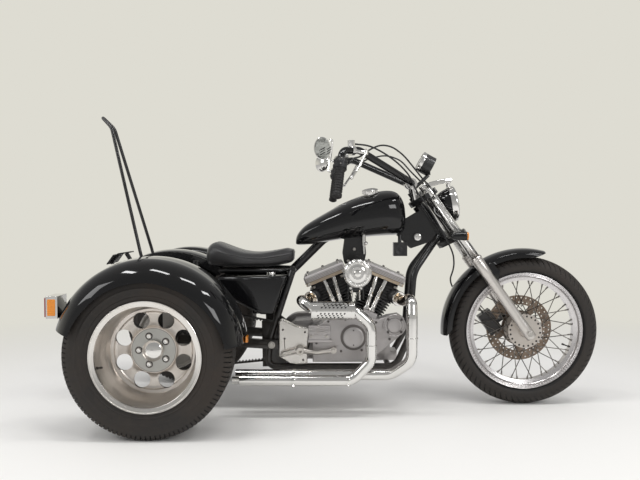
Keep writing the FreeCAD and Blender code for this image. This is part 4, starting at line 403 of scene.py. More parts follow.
class TrikeStage(PropertyGroup):
    """Camera, light and floor."""
    distance: length_setting("Camera distance", "From the machine's middle plane", 3.2)
    camera_x: length_setting("Camera place along X", "Ahead of the machine's middle", -0.097)
    height: length_setting("Camera height", "Above the floor", 0.843)
    focal: FloatProperty(name="Focal length", description="In pixels of a frame 640 wide", default=727.0)
    horizon: FloatProperty(name="Horizon", description="Pixel row of the horizon in a frame 480 high", default=212.4)
    key: FloatProperty(name="Key light", description="Power of the ceiling light", default=62.0, unit="POWER")
    fill: FloatProperty(name="Fill light", description="Power of the light near the camera", default=34.0,
                        unit="POWER")
    sky: FloatProperty(name="Surrounding light", description="Strength of the light from all round", default=0.62)
    floor: tint_setting("Floor", "Colour of the floor", (0.86, 0.85, 0.82))
    backdrop: tint_setting("Backdrop", "Colour behind the machine", (0.73, 0.715, 0.645))


# Shader node groups: they put out masks and heights only

def make_group(name, inputs, outputs, build):
    """A node group: inputs by name and default, and outputs that are all numbers."""
    tree = bpy.data.node_groups.new(name, "ShaderNodeTree")
    for label, default in inputs.items():
        kind = "NodeSocketVector" if isinstance(default, tuple) else "NodeSocketFloat"
        tree.interface.new_socket(name=label, in_out="INPUT", socket_type=kind).default_value = default
    for label in outputs:
        tree.interface.new_socket(name=label, in_out="OUTPUT", socket_type="NodeSocketFloat")
    build(tree, add(tree, "NodeGroupInput").outputs, add(tree, "NodeGroupOutput").inputs)


def add(tree, kind, **settings):
    """A new node with its settings."""
    node = tree.nodes.new(kind)
    for key, value in settings.items():
        setattr(node, key, value)
    return node


def feed(tree, target, source):
    """Connect a socket, or set its value."""
    if isinstance(source, bpy.types.NodeSocket):
        tree.links.new(source, target)
    else:
        target.default_value = source


def maths(tree, operation, *values, clamp=False):
    """One arithmetic step on numbers."""
    node = add(tree, "ShaderNodeMath", operation=operation, use_clamp=clamp)
    for slot, value in zip(node.inputs, values):
        feed(tree, slot, value)
    return node.outputs[0]


def noise(tree, vector, scale, detail=3.0, rough=0.6):
    """Noise from 0 to 1 on a vector."""
    node = add(tree, "ShaderNodeTexNoise")
    for label, value in (("Vector", vector), ("Scale", scale), ("Detail", detail), ("Roughness", rough)):
        feed(tree, node.inputs[label], value)
    return node.outputs["Fac"]


def ramp(tree, value, low, high, to_low=0.0, to_high=1.0):
    """A number carried from one span to another and held at its ends."""
    node = add(tree, "ShaderNodeMapRange", clamp=True)
    for i, entry in enumerate((value, low, high, to_low, to_high)):
        feed(tree, node.inputs[i], entry)
    return node.outputs[0]


def vectors(tree, operation, *values):
    """One arithmetic step on vectors; LENGTH gives a number."""
    node = add(tree, "ShaderNodeVectorMath", operation=operation)
    for slot, value in zip(node.inputs, values):
        feed(tree, slot, value)
    return node.outputs["Value" if operation == "LENGTH" else "Vector"]


def parts(tree, vector):
    """The X, Y and Z of a vector."""
    node = add(tree, "ShaderNodeSeparateXYZ")
    tree.links.new(vector, node.inputs[0])
    return node.outputs


def blend(tree, factor, first, second):
    """Mix two colours by a mask."""
    node = add(tree, "ShaderNodeMix", data_type="RGBA")
    feed(tree, node.inputs[0], factor)
    for slot, colour in ((6, first), (7, second)):
        feed(tree, node.inputs[slot], colour if isinstance(colour, bpy.types.NodeSocket) else (*colour, 1))
    return node.outputs[2]


def place_of(tree):
    """The place on the piece in metres."""
    return add(tree, "ShaderNodeTexCoord").outputs["Object"]


def mottle_group(tree, given, out):
    """Uneven patches: noise on the place, cut between two levels."""
    value = noise(tree, place_of(tree), given["Scale"], 5.0, 0.62)
    mask = ramp(tree, value, given["Low"], given["High"])
    tree.links.new(maths(tree, "MULTIPLY", mask, given["Amount"]), out["Mask"])


def dust_group(tree, given, out):
    """Road dust: thick near the floor, thin higher up, broken by noise, and some on what faces up."""
    spot = place_of(tree)
    fall = ramp(tree, parts(tree, spot)["Z"], given["Top"], 0.0)
    normal = add(tree, "ShaderNodeNewGeometry").outputs["Normal"]
    up = ramp(tree, parts(tree, normal)["Z"], 0.35, 1.0, 0.0, given["Settled"])
    patches = ramp(tree, noise(tree, spot, 38.0, 6.0, 0.7), 0.30, 0.72)
    total = maths(tree, "MAXIMUM", maths(tree, "MULTIPLY", fall, given["Amount"]), up)
    tree.links.new(maths(tree, "MULTIPLY", total, patches, clamp=True), out["Mask"])


def grain_group(tree, given, out):
    """Fine cast grain: two sizes of noise added as a height."""
    spot = place_of(tree)
    fine = noise(tree, spot, given["Scale"], 2.0, 0.5)
    coarse = noise(tree, spot, maths(tree, "MULTIPLY", given["Scale"], 0.22), 2.0, 0.5)
    tree.links.new(maths(tree, "ADD", fine, maths(tree, "MULTIPLY", coarse, 0.6)), out["Height"])


def turning_group(tree, given, out):
    """Tool marks of a lathe: noise on the distance from an axle that runs along Y, and on Y."""
    shift = vectors(tree, "SUBTRACT", place_of(tree), given["Centre"])
    reach = vectors(tree, "LENGTH", vectors(tree, "MULTIPLY", shift, (1, 0, 1)))
    pair = add(tree, "ShaderNodeCombineXYZ")
    tree.links.new(reach, pair.inputs[0])
    tree.links.new(parts(tree, shift)["Y"], pair.inputs[1])
    tree.links.new(noise(tree, pair.outputs[0], given["Scale"], 3.0, 0.7), out["Marks"])
    tree.links.new(reach, out["Reach"])


def brushing_group(tree, given, out):
    """Brushed metal: noise stretched far along one direction by a scale for each axis."""
    stretched = vectors(tree, "MULTIPLY", place_of(tree), given["Stretch"])
    tree.links.new(noise(tree, stretched, 1.0, 2.0, 0.6), out["Marks"])


# Name, inputs with their defaults, outputs and nodes of each group

NODE_GROUPS = (
    ("Mottle", {"Scale": 20.0, "Low": 0.45, "High": 0.7, "Amount": 0.5}, ["Mask"], mottle_group),
    ("Road Dust", {"Top": 0.5, "Amount": 0.6, "Settled": 0.15}, ["Mask"], dust_group),
    ("Cast Grain", {"Scale": 900.0}, ["Height"], grain_group),
    ("Lathe Marks", {"Centre": (0, 0, 0), "Scale": 420.0}, ["Marks", "Reach"], turning_group),
    ("Brushing", {"Stretch": (900, 40, 900)}, ["Marks"], brushing_group),
)


def tinted(colour, share, lift=0.0):
    """A colour times a share, or a share for each channel, plus a lift."""
    return tuple(np.array(colour) * share + lift)


class Finish:
    """One material: a Principled shader whose sockets the helpers below feed."""

    def __init__(self, name, **constants):
        """A new material; the constants are set on the shader's own sockets."""
        self.material = bpy.data.materials.new(name)
        self.material.use_nodes = True
        self.tree = self.material.node_tree
        self.shader = self.tree.nodes["Principled BSDF"]
        for label, value in constants.items():
            self.shader.inputs[label.replace("_", " ")].default_value = value

    def group(self, name, **values):
        """Place a node group with its own values."""
        node = add(self.tree, "ShaderNodeGroup", node_tree=bpy.data.node_groups[name])
        for label, value in values.items():
            feed(self.tree, node.inputs[label], value)
        return node.outputs

    def patches(self, scale, low, high, amount):
        """Mask of uneven patches."""
        return self.group("Mottle", Scale=scale, Low=low, High=high, Amount=amount)["Mask"]

    def dust(self, top, amount, settled):
        """Mask of road dust."""
        return self.group("Road Dust", Top=top, Amount=amount, Settled=settled)["Mask"]

    def grain(self, scale, distance, strength=1.0):
        """Bump of cast grain."""
        return self.bump(self.group("Cast Grain", Scale=scale)["Height"], distance, strength)

    def blend(self, factor, first, second):
        """Mix two colours by a mask."""
        return blend(self.tree, factor, first, second)

    def more(self, base, added, share):
        """base + added * share."""
        return maths(self.tree, "ADD", base, maths(self.tree, "MULTIPLY", added, share))

    def colour(self, value):
        """Base colour."""
        feed(self.tree, self.shader.inputs["Base Color"], value)
        return self

    def rough(self, value):
        """Roughness."""
        feed(self.tree, self.shader.inputs["Roughness"], value)
        return self

    def bump(self, height, distance, strength=1.0):
        """Bump from a height."""
        node = add(self.tree, "ShaderNodeBump")
        node.inputs["Strength"].default_value = strength
        node.inputs["Distance"].default_value = distance
        feed(self.tree, node.inputs["Height"], height)
        self.tree.links.new(node.outputs[0], self.shader.inputs["Normal"])
        return self


def paint_finish(name, look, colour, rough=0.09, top=0.36):
    """Gloss paint under clear coat, with a faint ripple, fine dust and a little haze."""
    finish = Finish(name, Coat_Weight=1.0, Coat_Roughness=0.03, Coat_IOR=1.43, Specular_IOR_Level=0.05)
    dust = finish.dust(top, 0.35 * look.wear, 0.05 * look.wear)
    haze = finish.patches(9.0, 0.42, 0.75, 0.16 * look.wear)
    finish.colour(finish.blend(dust, finish.blend(haze, colour, tinted(colour, 1.5, 0.001)), look.dust))
    finish.rough(finish.more(rough, maths(finish.tree, "ADD", dust, haze), 0.5))
    ripple = noise(finish.tree, place_of(finish.tree), 55.0, 1.0)
    return finish.bump(ripple, 0.00012, 0.5).material


def coated_finish(name, look, colour, rough=0.34, top=0.5):
    """Semi-gloss frame coating with chips, grease and road dust."""
    finish = Finish(name, Coat_Weight=0.25, Coat_Roughness=0.2)
    dust = finish.dust(top, 0.7 * look.wear, 0.25 * look.wear)
    chips = finish.patches(150.0, 0.70, 0.74, 0.6 * look.wear)
    finish.colour(finish.blend(dust, finish.blend(chips, colour, (0.10, 0.075, 0.06)), look.dust))
    finish.rough(ramp(finish.tree, dust, 0.0, 0.5, rough, 0.75))
    return finish.grain(420.0, 0.0001, 0.5).material


def chrome_finish(name, look, colour, rough=0.07, top=0.3, stain=0.0):
    """Plated metal with smudges, pitting near the road and, on pipes, heat stain near the ports."""
    finish = Finish(name, Metallic=1.0)
    tree = finish.tree
    dust = finish.dust(top, 0.30 * look.wear, 0.05)
    smudge = finish.patches(14.0, 0.4, 0.8, 0.22 * look.wear)
    pits = finish.patches(420.0, 0.69, 0.75, 0.55 * look.wear)
    base = finish.blend(pits, colour, (0.16, 0.09, 0.05))
    if stain:
        spot = parts(tree, place_of(tree))
        near = maths(tree, "MULTIPLY", ramp(tree, spot["Z"], 0.43, 0.50), ramp(tree, spot["Y"], -0.235, -0.19))
        base = finish.blend(maths(tree, "MULTIPLY", near, stain), base, (0.46, 0.30, 0.13))
    finish.colour(finish.blend(dust, base, look.dust))
    spread = maths(tree, "ADD", smudge, maths(tree, "ADD", dust, pits))
    finish.rough(finish.more(rough, spread, 0.55))
    feed(tree, finish.shader.inputs["Metallic"], ramp(tree, dust, 0.25, 0.9, 1.0, 0.35))
    return finish.bump(noise(tree, place_of(tree), 40.0, 1.0), 0.0001, 0.35).material


def cast_finish(name, look, colour, rough=0.42, metallic=0.55, grain=0.00012):
    """Silver casting paint: cast grain, oil mist in the low parts and stains."""
    finish = Finish(name, Metallic=metallic, Coat_Weight=0.12, Coat_Roughness=0.25)
    dust = finish.dust(0.36, 0.55 * look.wear, 0.12 * look.wear)
    stains = finish.patches(22.0, 0.5, 0.8, 0.5 * look.wear)
    specks = finish.patches(260.0, 0.66, 0.72, 0.55 * look.wear)
    base = finish.blend(stains, colour, tinted(colour, (0.74, 0.68, 0.60)))
    finish.colour(finish.blend(dust, finish.blend(specks, base, (0.13, 0.10, 0.08)), look.dust))
    finish.rough(finish.more(rough, stains, 0.35))
    return finish.grain(850.0, grain).material


def turned_finish(name, look, colour, centre, rough=0.24, scale=420.0, plate=0.0):
    """Machined alloy: lathe marks round an axle, aged patches, brake dust and a duller centre plate with a joint."""
    finish = Finish(name, Metallic=1.0, Anisotropic=0.35)
    tree = finish.tree
    marks = finish.group("Lathe Marks", Centre=tuple(centre), Scale=scale)
    aged = finish.patches(11.0, 0.42, 0.78, 0.55 * look.wear)
    dust = finish.dust(0.42, 0.35 * look.wear, 0.1)
    pits = finish.patches(330.0, 0.68, 0.74, 0.5 * look.wear)
    shade = ramp(tree, marks["Marks"], 0.3, 0.7, 0.0, 0.22)
    base = finish.blend(shade, colour, tinted(colour, 0.72))
    base = finish.blend(aged, base, tinted(colour, (0.78, 0.70, 0.60)))
    if plate:
        inside = ramp(tree, marks["Reach"], plate - 0.0004, plate, 0.85, 0.0)
        base = finish.blend(inside, base, (0.40, 0.405, 0.385))
        off = maths(tree, "ABSOLUTE", maths(tree, "SUBTRACT", marks["Reach"], plate))
        base = finish.blend(ramp(tree, off, 0.0005, 0.0012, 0.9, 0.0), base, (0.06, 0.05, 0.045))
    finish.colour(finish.blend(dust, finish.blend(pits, base, (0.2, 0.15, 0.11)), look.dust))
    finish.rough(finish.more(finish.more(rough, aged, 0.4), marks["Marks"], 0.14))
    return finish.bump(marks["Marks"], 0.00006, 0.6).material


def brushed_finish(name, look, colour, stretch, rough=0.26):
    """Brushed metal along one direction, with dull patches."""
    finish = Finish(name, Metallic=1.0, Anisotropic=0.3)
    marks = finish.group("Brushing", Stretch=stretch)["Marks"]
    aged = finish.patches(16.0, 0.45, 0.75, 0.5 * look.wear)
    finish.colour(finish.blend(aged, colour, tinted(colour, 0.72)))
    finish.rough(finish.more(finish.more(rough, aged, 0.3), marks, 0.15))
    return finish.bump(marks, 0.00005, 0.5).material


def tyre_finish(name, look, centre, brown=0.5):
    """Tyre rubber: brown bloom in patches, pale scuffs round the axle, road dust on the tread and painted shade
    darkening the grooves.
    """
    finish = Finish(name, Specular_IOR_Level=0.35)
    tree = finish.tree
    marks = finish.group("Lathe Marks", Centre=tuple(centre), Scale=150.0)
    bloom = finish.patches(6.0, 0.35, 0.75, brown)
    dust = finish.patches(60.0, 0.45, 0.8, 0.35 * look.wear)
    scuff = ramp(tree, marks["Marks"], 0.58, 0.75, 0.0, 0.22)
    base = finish.blend(bloom, look.rubber, (0.043, 0.033, 0.026))
    base = finish.blend(scuff, base, (0.052, 0.046, 0.041))
    base = finish.blend(dust, base, tinted(look.dust, 0.32))
    # Painted shade: the grooves darkened by how far each point lies below the crown.
    groove_shade = add(tree, "ShaderNodeAttribute", attribute_name="groove_shade").outputs["Fac"]
    finish.colour(finish.blend(maths(tree, "MULTIPLY", groove_shade, 0.9), base, (0.004, 0.0037, 0.0035)))
    finish.rough(finish.more(0.52, maths(tree, "ADD", dust, bloom), 0.3))
    return finish.grain(700.0, 0.00012, 0.7).material


def moulded_finish(name, look, colour, rough=0.5, scale=600.0, depth=0.0001):
    """Moulded plastic or rubber with a fine grain and finger-worn patches."""
    finish = Finish(name, Specular_IOR_Level=0.4)
    worn = finish.patches(24.0, 0.4, 0.8, 0.5)
    dust = finish.dust(0.5, 0.5 * look.wear, 0.15 * look.wear)
    finish.colour(finish.blend(dust, finish.blend(worn, colour, tinted(colour, 1.5, 0.004)), look.dust))
    finish.rough(finish.more(rough, worn, -0.14))
    return finish.grain(scale, depth).material


def vinyl_finish(name, look):
    """Seat vinyl: pebbled grain, a faint sheen and paler worn patches."""
    finish = Finish(name, Specular_IOR_Level=0.5, Sheen_Weight=0.08)
    tree = finish.tree
    cells = add(tree, "ShaderNodeTexVoronoi", feature="DISTANCE_TO_EDGE")
    tree.links.new(place_of(tree), cells.inputs["Vector"])
    cells.inputs["Scale"].default_value = 620.0
    pebble = ramp(tree, cells.outputs["Distance"], 0.0, 0.35)
    worn = finish.patches(10.0, 0.4, 0.8, 0.6 * look.wear)
    finish.colour(finish.blend(worn, look.seat, tinted(look.seat, 1.9, 0.01)))
    finish.rough(ramp(tree, worn, 0.0, 0.5, 0.27, 0.40))
    return finish.bump(pebble, 0.00022, 0.7).material


def lens_finish(name, colour, ribs=(0, 0, 260)):
    """Tinted lamp lens that lets some light through, ribbed inside."""
    finish = Finish(name, Roughness=0.12, Coat_Weight=1.0, Coat_Roughness=0.03, Transmission_Weight=0.12)
    marks = finish.group("Brushing", Stretch=ribs)["Marks"]
    finish.colour(finish.blend(ramp(finish.tree, marks, 0.35, 0.65), tinted(colour, 0.75), colour))
    return finish.bump(marks, 0.0004, 0.5).material


def glass_finish(name, tint=(0.93, 0.96, 0.97), flutes=None):
    """Clear glass with faint dust and, on a lamp, upright flutes."""
    finish = Finish(name, Roughness=0.02, Transmission_Weight=1.0, IOR=1.46)
    film = finish.patches(30.0, 0.5, 0.9, 0.06)
    finish.colour(finish.blend(film, tint, (0.7, 0.68, 0.62)))
    if flutes:
        finish.bump(finish.group("Brushing", Stretch=flutes)["Marks"], 0.0008, 0.7)
    return finish.material


def disc_finish(name, look, centre):
    """Brake disc: turned steel with brown bloom."""
    finish = Finish(name, Metallic=0.85)
    marks = finish.group("Lathe Marks", Centre=tuple(centre), Scale=700.0)["Marks"]
    bloom = finish.patches(48.0, 0.3, 0.7, 0.85)
    finish.colour(finish.blend(bloom, (0.34, 0.27, 0.215), (0.15, 0.105, 0.075)))
    finish.rough(finish.more(0.30, bloom, 0.3))
    return finish.bump(marks, 0.00006, 0.6).material


def mirror_finish(name):
    """Mirror glass: silvered, with a trace of haze."""
    finish = Finish(name, Metallic=1.0)
    haze = finish.patches(25.0, 0.5, 0.9, 0.08)
    finish.colour(finish.blend(haze, (0.82, 0.84, 0.83), (0.5, 0.5, 0.48)))
    return finish.rough(maths(finish.tree, "ADD", 0.02, haze)).material


FINISHES = {}


def make_finishes(look):
    """Build every material once."""
    for group in NODE_GROUPS:
        make_group(*group)
    warm = tuple(look.turned)
    made = {
        "paint": paint_finish("Body Paint", look, tuple(look.paint)),
        "frame": coated_finish("Frame Coating", look, (0.006, 0.006, 0.0065), 0.26),
        "satin": coated_finish("Satin Black", look, (0.011, 0.011, 0.0115), 0.38),
        "fins": cast_finish("Cylinder Coating", look, (0.030, 0.029, 0.030), 0.5, 0.2),
        "cast": cast_finish("Engine Casting", look, tuple(look.cast)),
        "polished": cast_finish("Polished Casting", look, (0.62, 0.60, 0.57), 0.22, 0.95, 0.00003),
        "chrome": chrome_finish("Chrome", look, tuple(look.chrome)),
        "pipes": chrome_finish("Pipe Chrome", look, tuple(look.chrome), 0.08, 0.24, 0.85),
        "right_turned": turned_finish("Right Wheel Alloy", look, warm, RIGHT_AXLE, plate=0.0845),
        "left_turned": turned_finish("Left Wheel Alloy", look, warm, LEFT_AXLE, plate=0.0845),
        "rim": cast_finish("Front Rim Alloy", look, (0.68, 0.66, 0.665), 0.24, 0.92, 0.00002),
        "hub": turned_finish("Front Hub Alloy", look, (0.60, 0.56, 0.52), FRONT_AXLE, 0.3, 500.0),
        "slider": brushed_finish("Slider Alloy", look, (0.66, 0.63, 0.60), (700, 700, 700)),
        "spoke": brushed_finish("Spoke Steel", look, (0.30, 0.28, 0.26), (300, 300, 300), 0.36),
        "steel": brushed_finish("Zinc Steel", look, (0.50, 0.48, 0.45), (500, 500, 500), 0.34),
        "disc": disc_finish("Brake Disc Steel", look, FRONT_AXLE),
        "front_tyre": tyre_finish("Front Tyre Rubber", look, FRONT_AXLE, 0.4),
        "right_tyre": tyre_finish("Right Tyre Rubber", look, RIGHT_AXLE, 0.75),
        "left_tyre": tyre_finish("Left Tyre Rubber", look, LEFT_AXLE, 0.75),
        "rubber": moulded_finish("Black Rubber", look, (0.014, 0.013, 0.013), 0.55),
        "plastic": moulded_finish("Black Plastic", look, (0.017, 0.017, 0.018), 0.42, 900.0),
        "seat": vinyl_finish("Seat Vinyl", look),
        "cover": cast_finish("Round Cover", look, tinted(look.cast, 1.08), 0.34, 0.6, 0.00006),
        "forged": cast_finish("Forged Alloy", look, (0.60, 0.57, 0.53), 0.3, 0.85, 0.00005),
        "piping": moulded_finish("Seat Piping", look, (0.020, 0.019, 0.020), 0.38, 500.0),
        # Dark coating: the own colour of dark screws, rocker lines and joints, and painted shade in the rings round the
        # lug nuts and the round engine covers.
        "dark_and_painted_shade": coated_finish("Dark Parts and Painted Shade", look, (0.10, 0.09, 0.085), 0.4),
        "rim_lip": turned_finish("Polished Lip", look, (0.80, 0.78, 0.75), REAR_AXLE, 0.14, 500.0),
        "amber": lens_finish("Amber Lens", tuple(look.amber)),
        "red": lens_finish("Red Lens", tuple(look.red)),
        "glass": glass_finish("Clear Glass"),
        "fluted": glass_finish("Fluted Glass", (0.95, 0.97, 0.98), (0, 330, 0)),
        "mirror": mirror_finish("Mirror Glass"),
        # Black of the dial face and the mirror slots; the same black stands as painted shade in the ring on the front
        # hub plate and in the sheet under the heat shield's holes.
        "dial": moulded_finish("Dial Black and Painted Shade", look, (0.01, 0.01, 0.011), 0.6),
        "figures": moulded_finish("Dial Figures", look, (0.75, 0.75, 0.72), 0.6),
        "needle": moulded_finish("Needle Red", look, (0.65, 0.03, 0.02), 0.5),
        "brass": brushed_finish("Tan Steel", look, (0.55, 0.42, 0.26), (400, 400, 400), 0.35),
    }
    FINISHES.update(made)


# Frame nodes that keep their shape: finish and the width of the broken corner in millimetres

KEPT = {
    "front_rim": ("rim", 0.0), "front_spokes": ("spoke", 0.0), "front_hub": ("hub", 0.5),
    "right_wheel": ("right_turned", 0.8, 20), "left_wheel": ("left_turned", 0.8, 20),
    "fork_clamps": ("satin", 1.2), "fork_tubes": ("chrome", 0.0), "fork_sliders": ("slider", 0.8),
    "brake_caliper": ("satin", 1.2), "handlebar": ("paint", 0.0),
    "risers_and_lamp_bracket": ("chrome", 0.8), "hand_grips": ("rubber", 0.8), "hand_controls": ("plastic", 1.0),
    "hand_levers": ("chrome", 0.7), "mirrors": ("chrome", 0.8), "speedometer": ("satin", 0.8),
    "headlamp_shell": ("paint", 0.6),
    "main_frame": ("frame", 0.8), "swingarm": ("frame", 1.0), "axle_housing": ("satin", 1.2),
    "drive_belt": ("rubber", 0.0), "drive_pulleys": ("steel", 0.5),
    "engine_cases": ("cast", 1.2), "gearcase_cover": ("cast", 1.4), "primary_cover": ("cast", 1.4),
    "cylinders": ("fins", 0.5), "rocker_covers": ("cast", 1.5), "pushrod_tubes": ("chrome", 0.5),
    "air_cleaner": ("chrome", 1.4), "carburettor": ("polished", 0.8), "sprocket_cover": ("polished", 1.2),
    "foot_controls": ("forged", 0.8), "exhaust_pipes": ("pipes", 0.0),
    "oil_tank": ("paint", 1.2), "side_cover": ("paint", 1.2), "battery": ("plastic", 1.2),
    "filler_caps": ("chrome", 0.6), "fuel_tank": ("paint", 0.0), "centre_fender": ("paint", 0.0),
    "right_fender": ("paint", 0.0), "left_fender": ("paint", 0.0), "tail_lamps": ("chrome", 0.7),
    "sissy_bar": ("frame", 0.6), "plate_bracket": ("satin", 0.5),
    "horn_and_switch": ("satin", 0.8), "control_cables": ("plastic", 0.0),
}


class TRIKE_OT_finishes(Operator):
    """Build the node groups and the materials"""
    bl_idname = "trike.finishes"
    bl_label = "Finishes"

    def execute(self, context):
        make_finishes(context.scene.trike_finish)
        return {"FINISHED"}


class TRIKE_OT_kept(Operator):
    """Give the frame's own shapes smooth surfaces, broken corners and their finish"""
    bl_idname = "trike.kept"
    bl_label = "Frame Pieces"

    def execute(self, context):
        for node, (finish, corner, *sharp) in KEPT.items():
            dressed(node, finish, corner, *sharp)
        fender = dressed("front_fender", "paint", name="front_fender_blade")
        trimmed(fender, [(at(893, 0, 669), (0.351, 0, -0.936), lambda c: c.x > 0.8 and c.z < 0.70),
                         (at(845, 0, 651), (0.22, 0, -0.975), lambda c: c.x > 0.79 and c.z < 0.70),
                         (at(485, 0, 344), (0.777, 0, -0.63), lambda c: c.x < 0.56 and c.z < 0.42)])
        face = corners("front_signals")[1][0] - 0.0062
        dressed("front_signals", "paint", 0.5, name="signal_shells", keep=lambda co: co.x < face)
        dressed("front_signals", "amber", 0.5, name="signal_lenses", keep=lambda co: co.x > face, stands=False)
        tail = corners("tail_lamps")[1][0]
        dressed("lamp_lenses", "red", 0.5, name="tail_lenses", keep=lambda co: co.x < tail)
        dressed("lamp_lenses", "amber", 0.5, name="marker_lenses", keep=lambda co: co.x > tail, stands=False)
        return {"FINISHED"}


def tyre_body(name, centre, rows, pitches, pitch_marks, depth, reach, crown, limit):
    """A tyre: r(s, t) = outline radius - depth * cut(s, t), each row turned round the axle by its slant.

    The point attribute made below holds how far a point lies below the crown; the material darkens the grooves by it as
    painted shade.
    rows: across, radius, cut of every pitch, cut of alternate pitches, slant in pitches.
    pitch_marks: place within a pitch and depth share there.
    reach: radius in metres that no cut goes below; limit: half the crown's width."""
    rows, marks = np.asarray(rows, float), np.asarray(pitch_marks, float)
    pitch = np.arange(pitches)
    step = TAU / pitches
    t = ((pitch[:, None] + marks[None, :, 0]) * step).ravel()
    every = np.tile(marks[:, 1], pitches)
    second = (marks[None, :, 1] * (pitch % 2)[:, None]).ravel()
    drop = depth * np.maximum(rows[:, 2:3] * every, rows[:, 3:4] * second)
    radius = np.maximum(rows[:, 1:2] * MM - drop, reach)
    angle = t[None] + rows[:, 4:5] * step
    points = np.stack([radius * np.cos(angle), np.broadcast_to(rows[:, :1] * MM, radius.shape),
                       radius * np.sin(angle)], -1) + centre
    piece = Shape().add(points, quads(len(rows), len(t), True, True)).make(name + "_carcass", name, name, (name,))
    # How far each point lies below the crown, kept for the painted shade in the grooves.
    y = rows[:, :1]
    below = np.where(np.abs(y) < limit, crown(np.clip(y, -limit, limit)) * MM - radius, drop)
    share = np.clip(below / (0.75 * depth), 0, 1).astype(np.float32)
    piece.data.attributes.new("groove_shade", "FLOAT", "POINT").data.foreach_set("value", share.ravel())


def both_halves(half):
    """Rows of one half of a tyre, and the same rows across the middle plane."""
    half = np.asarray(half, float)
    mirrored = half[::-1] * (-1, 1, 1, 1, 1)
    return np.concatenate([half, mirrored[:-1] if half[0, 0] == 0 else mirrored])


def front_crown(y):
    """Radius of the front tyre's round crown at y."""
    return 269.5 + np.sqrt(55.5 ** 2 - y * y)


def rear_crown(y):
    """Radius of a rear tyre's nearly flat crown at y."""
    return 313 - 1.2 * (y / 84.5) ** 2


def front_rows():
    """Outline of the front tyre: a round crown, slanted strokes on the shoulders, plain walls."""
    crown = front_crown
    rows = [(0, crown(0), 0, 0, 0), (2.4, crown(2.4) - 3.5, 0, 0, 0), (4.8, crown(4.8), 0, 0, 0),
            (8, crown(8), 0, 0, 0), (8.6, crown(8.6), 1, 0, 0)]
    for y in np.linspace(13, 46, 9):
        slant = -1.25 * (y - 8) / 40
        rows.append((y, crown(y), 1, 1 if y > 24 else 0, slant))
    rows += [(47.6, 295.5, 1, 0, -1.36), (48.7, 290.5, 0.6, 0, -1.46), (49.0, 289.3, 0, 0, -1.48),
             (49.6, 284, 0, 0, -1.5), (49.5, 277, 0, 0, -1.5), (48.4, 270.5, 0, 0, -1.5), (47.4, 269, 0, 0, -1.5),
             (47.0, 267.4, 0, 0, -1.5), (44.5, 262.5, 0, 0, -1.5), (41, 259, 0, 0, -1.5),
             (37.6, 257.2, 0, 0, -1.5), (34.2, 256.4, 0, 0, -1.5), (33.4, 244.4, 0, 0, -1.5)]
    return both_halves(rows)


def rear_rows():
    """Outline of a rear tyre: four grooves round it, blocks on the shoulders and ribs on the walls."""
    crown = rear_crown
    rows = [(0, 313, 0, 0, 0), (13.5, crown(13.5), 0, 0, 0), (14.6, 306.6, 0, 0, 0), (20.4, 306.5, 0, 0, 0),
            (21.5, crown(21.5), 0, 0, 0), (22.1, crown(22), 0, 1, 0), (34, crown(34), 0, 1, 0.25),
            (46, crown(46), 0, 1, 0.5), (46.6, crown(46.6), 0, 0, 0.5), (47.7, 306.3, 0, 0, 0.5),
            (54.4, 306.1, 0, 0, 0.5), (55.5, crown(55.5), 0, 0, 0.5), (56.1, crown(56), 1, 0, 0.5)]
    for y, r in ((70, crown(70)), (84.5, 311.8), (92, 309), (98, 305.2), (102.4, 300.6), (105.8, 294.6), (107.6, 290)):
        rows.append((y, r, 1, 0, 0.5 + (y - 56) * 0.008))
    rows += [(y, r, 0, 0, 0.92) for y, r in (
        (108, 288.9), (109.9, 283), (111.6, 274), (112.3, 264), (112.3, 256), (112.9, 255), (112.9, 253.4),
        (112.2, 252.4), (111.7, 240), (110.6, 230), (110, 227.6), (111.2, 226.4), (111.2, 223.6), (109.6, 222.4),
        (108, 216.5), (106.2, 211.4), (104.7, 209.1), (104.6, 192.8))]
    return both_halves(rows)


class TRIKE_OT_tyres(Operator):
    """Make the three tyres with their grooves, blocks and wall ribs"""
    bl_idname = "trike.tyres"
    bl_label = "Tyres"

    def execute(self, context):
        sizes = context.scene.trike_shapes
        marks = [(0, 0), (0.03, 1), (0.19, 1), (0.22, 0), (0.45, 0), (0.72, 0)]
        tyre_body("front_tyre", FRONT_AXLE, front_rows(), sizes.front_strokes, marks,
                  sizes.tread_depth, 0.2440, front_crown, 47)
        marks = [(0, 0), (0.04, 1), (0.24, 1), (0.28, 0), (0.5, 0), (0.75, 0)]
        for word, axle in (("right", RIGHT_AXLE), ("left", LEFT_AXLE)):
            tyre_body(word + "_tyre", axle, rear_rows(), sizes.rear_blocks, marks,
                      sizes.tread_depth, 0.1922, rear_crown, 84)
        return {"FINISHED"}


def round_border(corner_points, steps):
    """Points along the sides of a closed outline, steps to a side."""
    f = np.linspace(0, 1, steps, endpoint=False)[:, None]
    start = np.asarray(corner_points, float)
    return np.concatenate([(1 - f) * a + f * b for a, b in zip(start, np.roll(start, -1, 0))])


def joined(points):
    """The distinct points, and each point's number among them."""
    first, back = np.unique(np.round(points * 1e7).astype(np.int64), axis=0, return_index=True, return_inverse=True)[1:]
    return points[first], back.ravel()


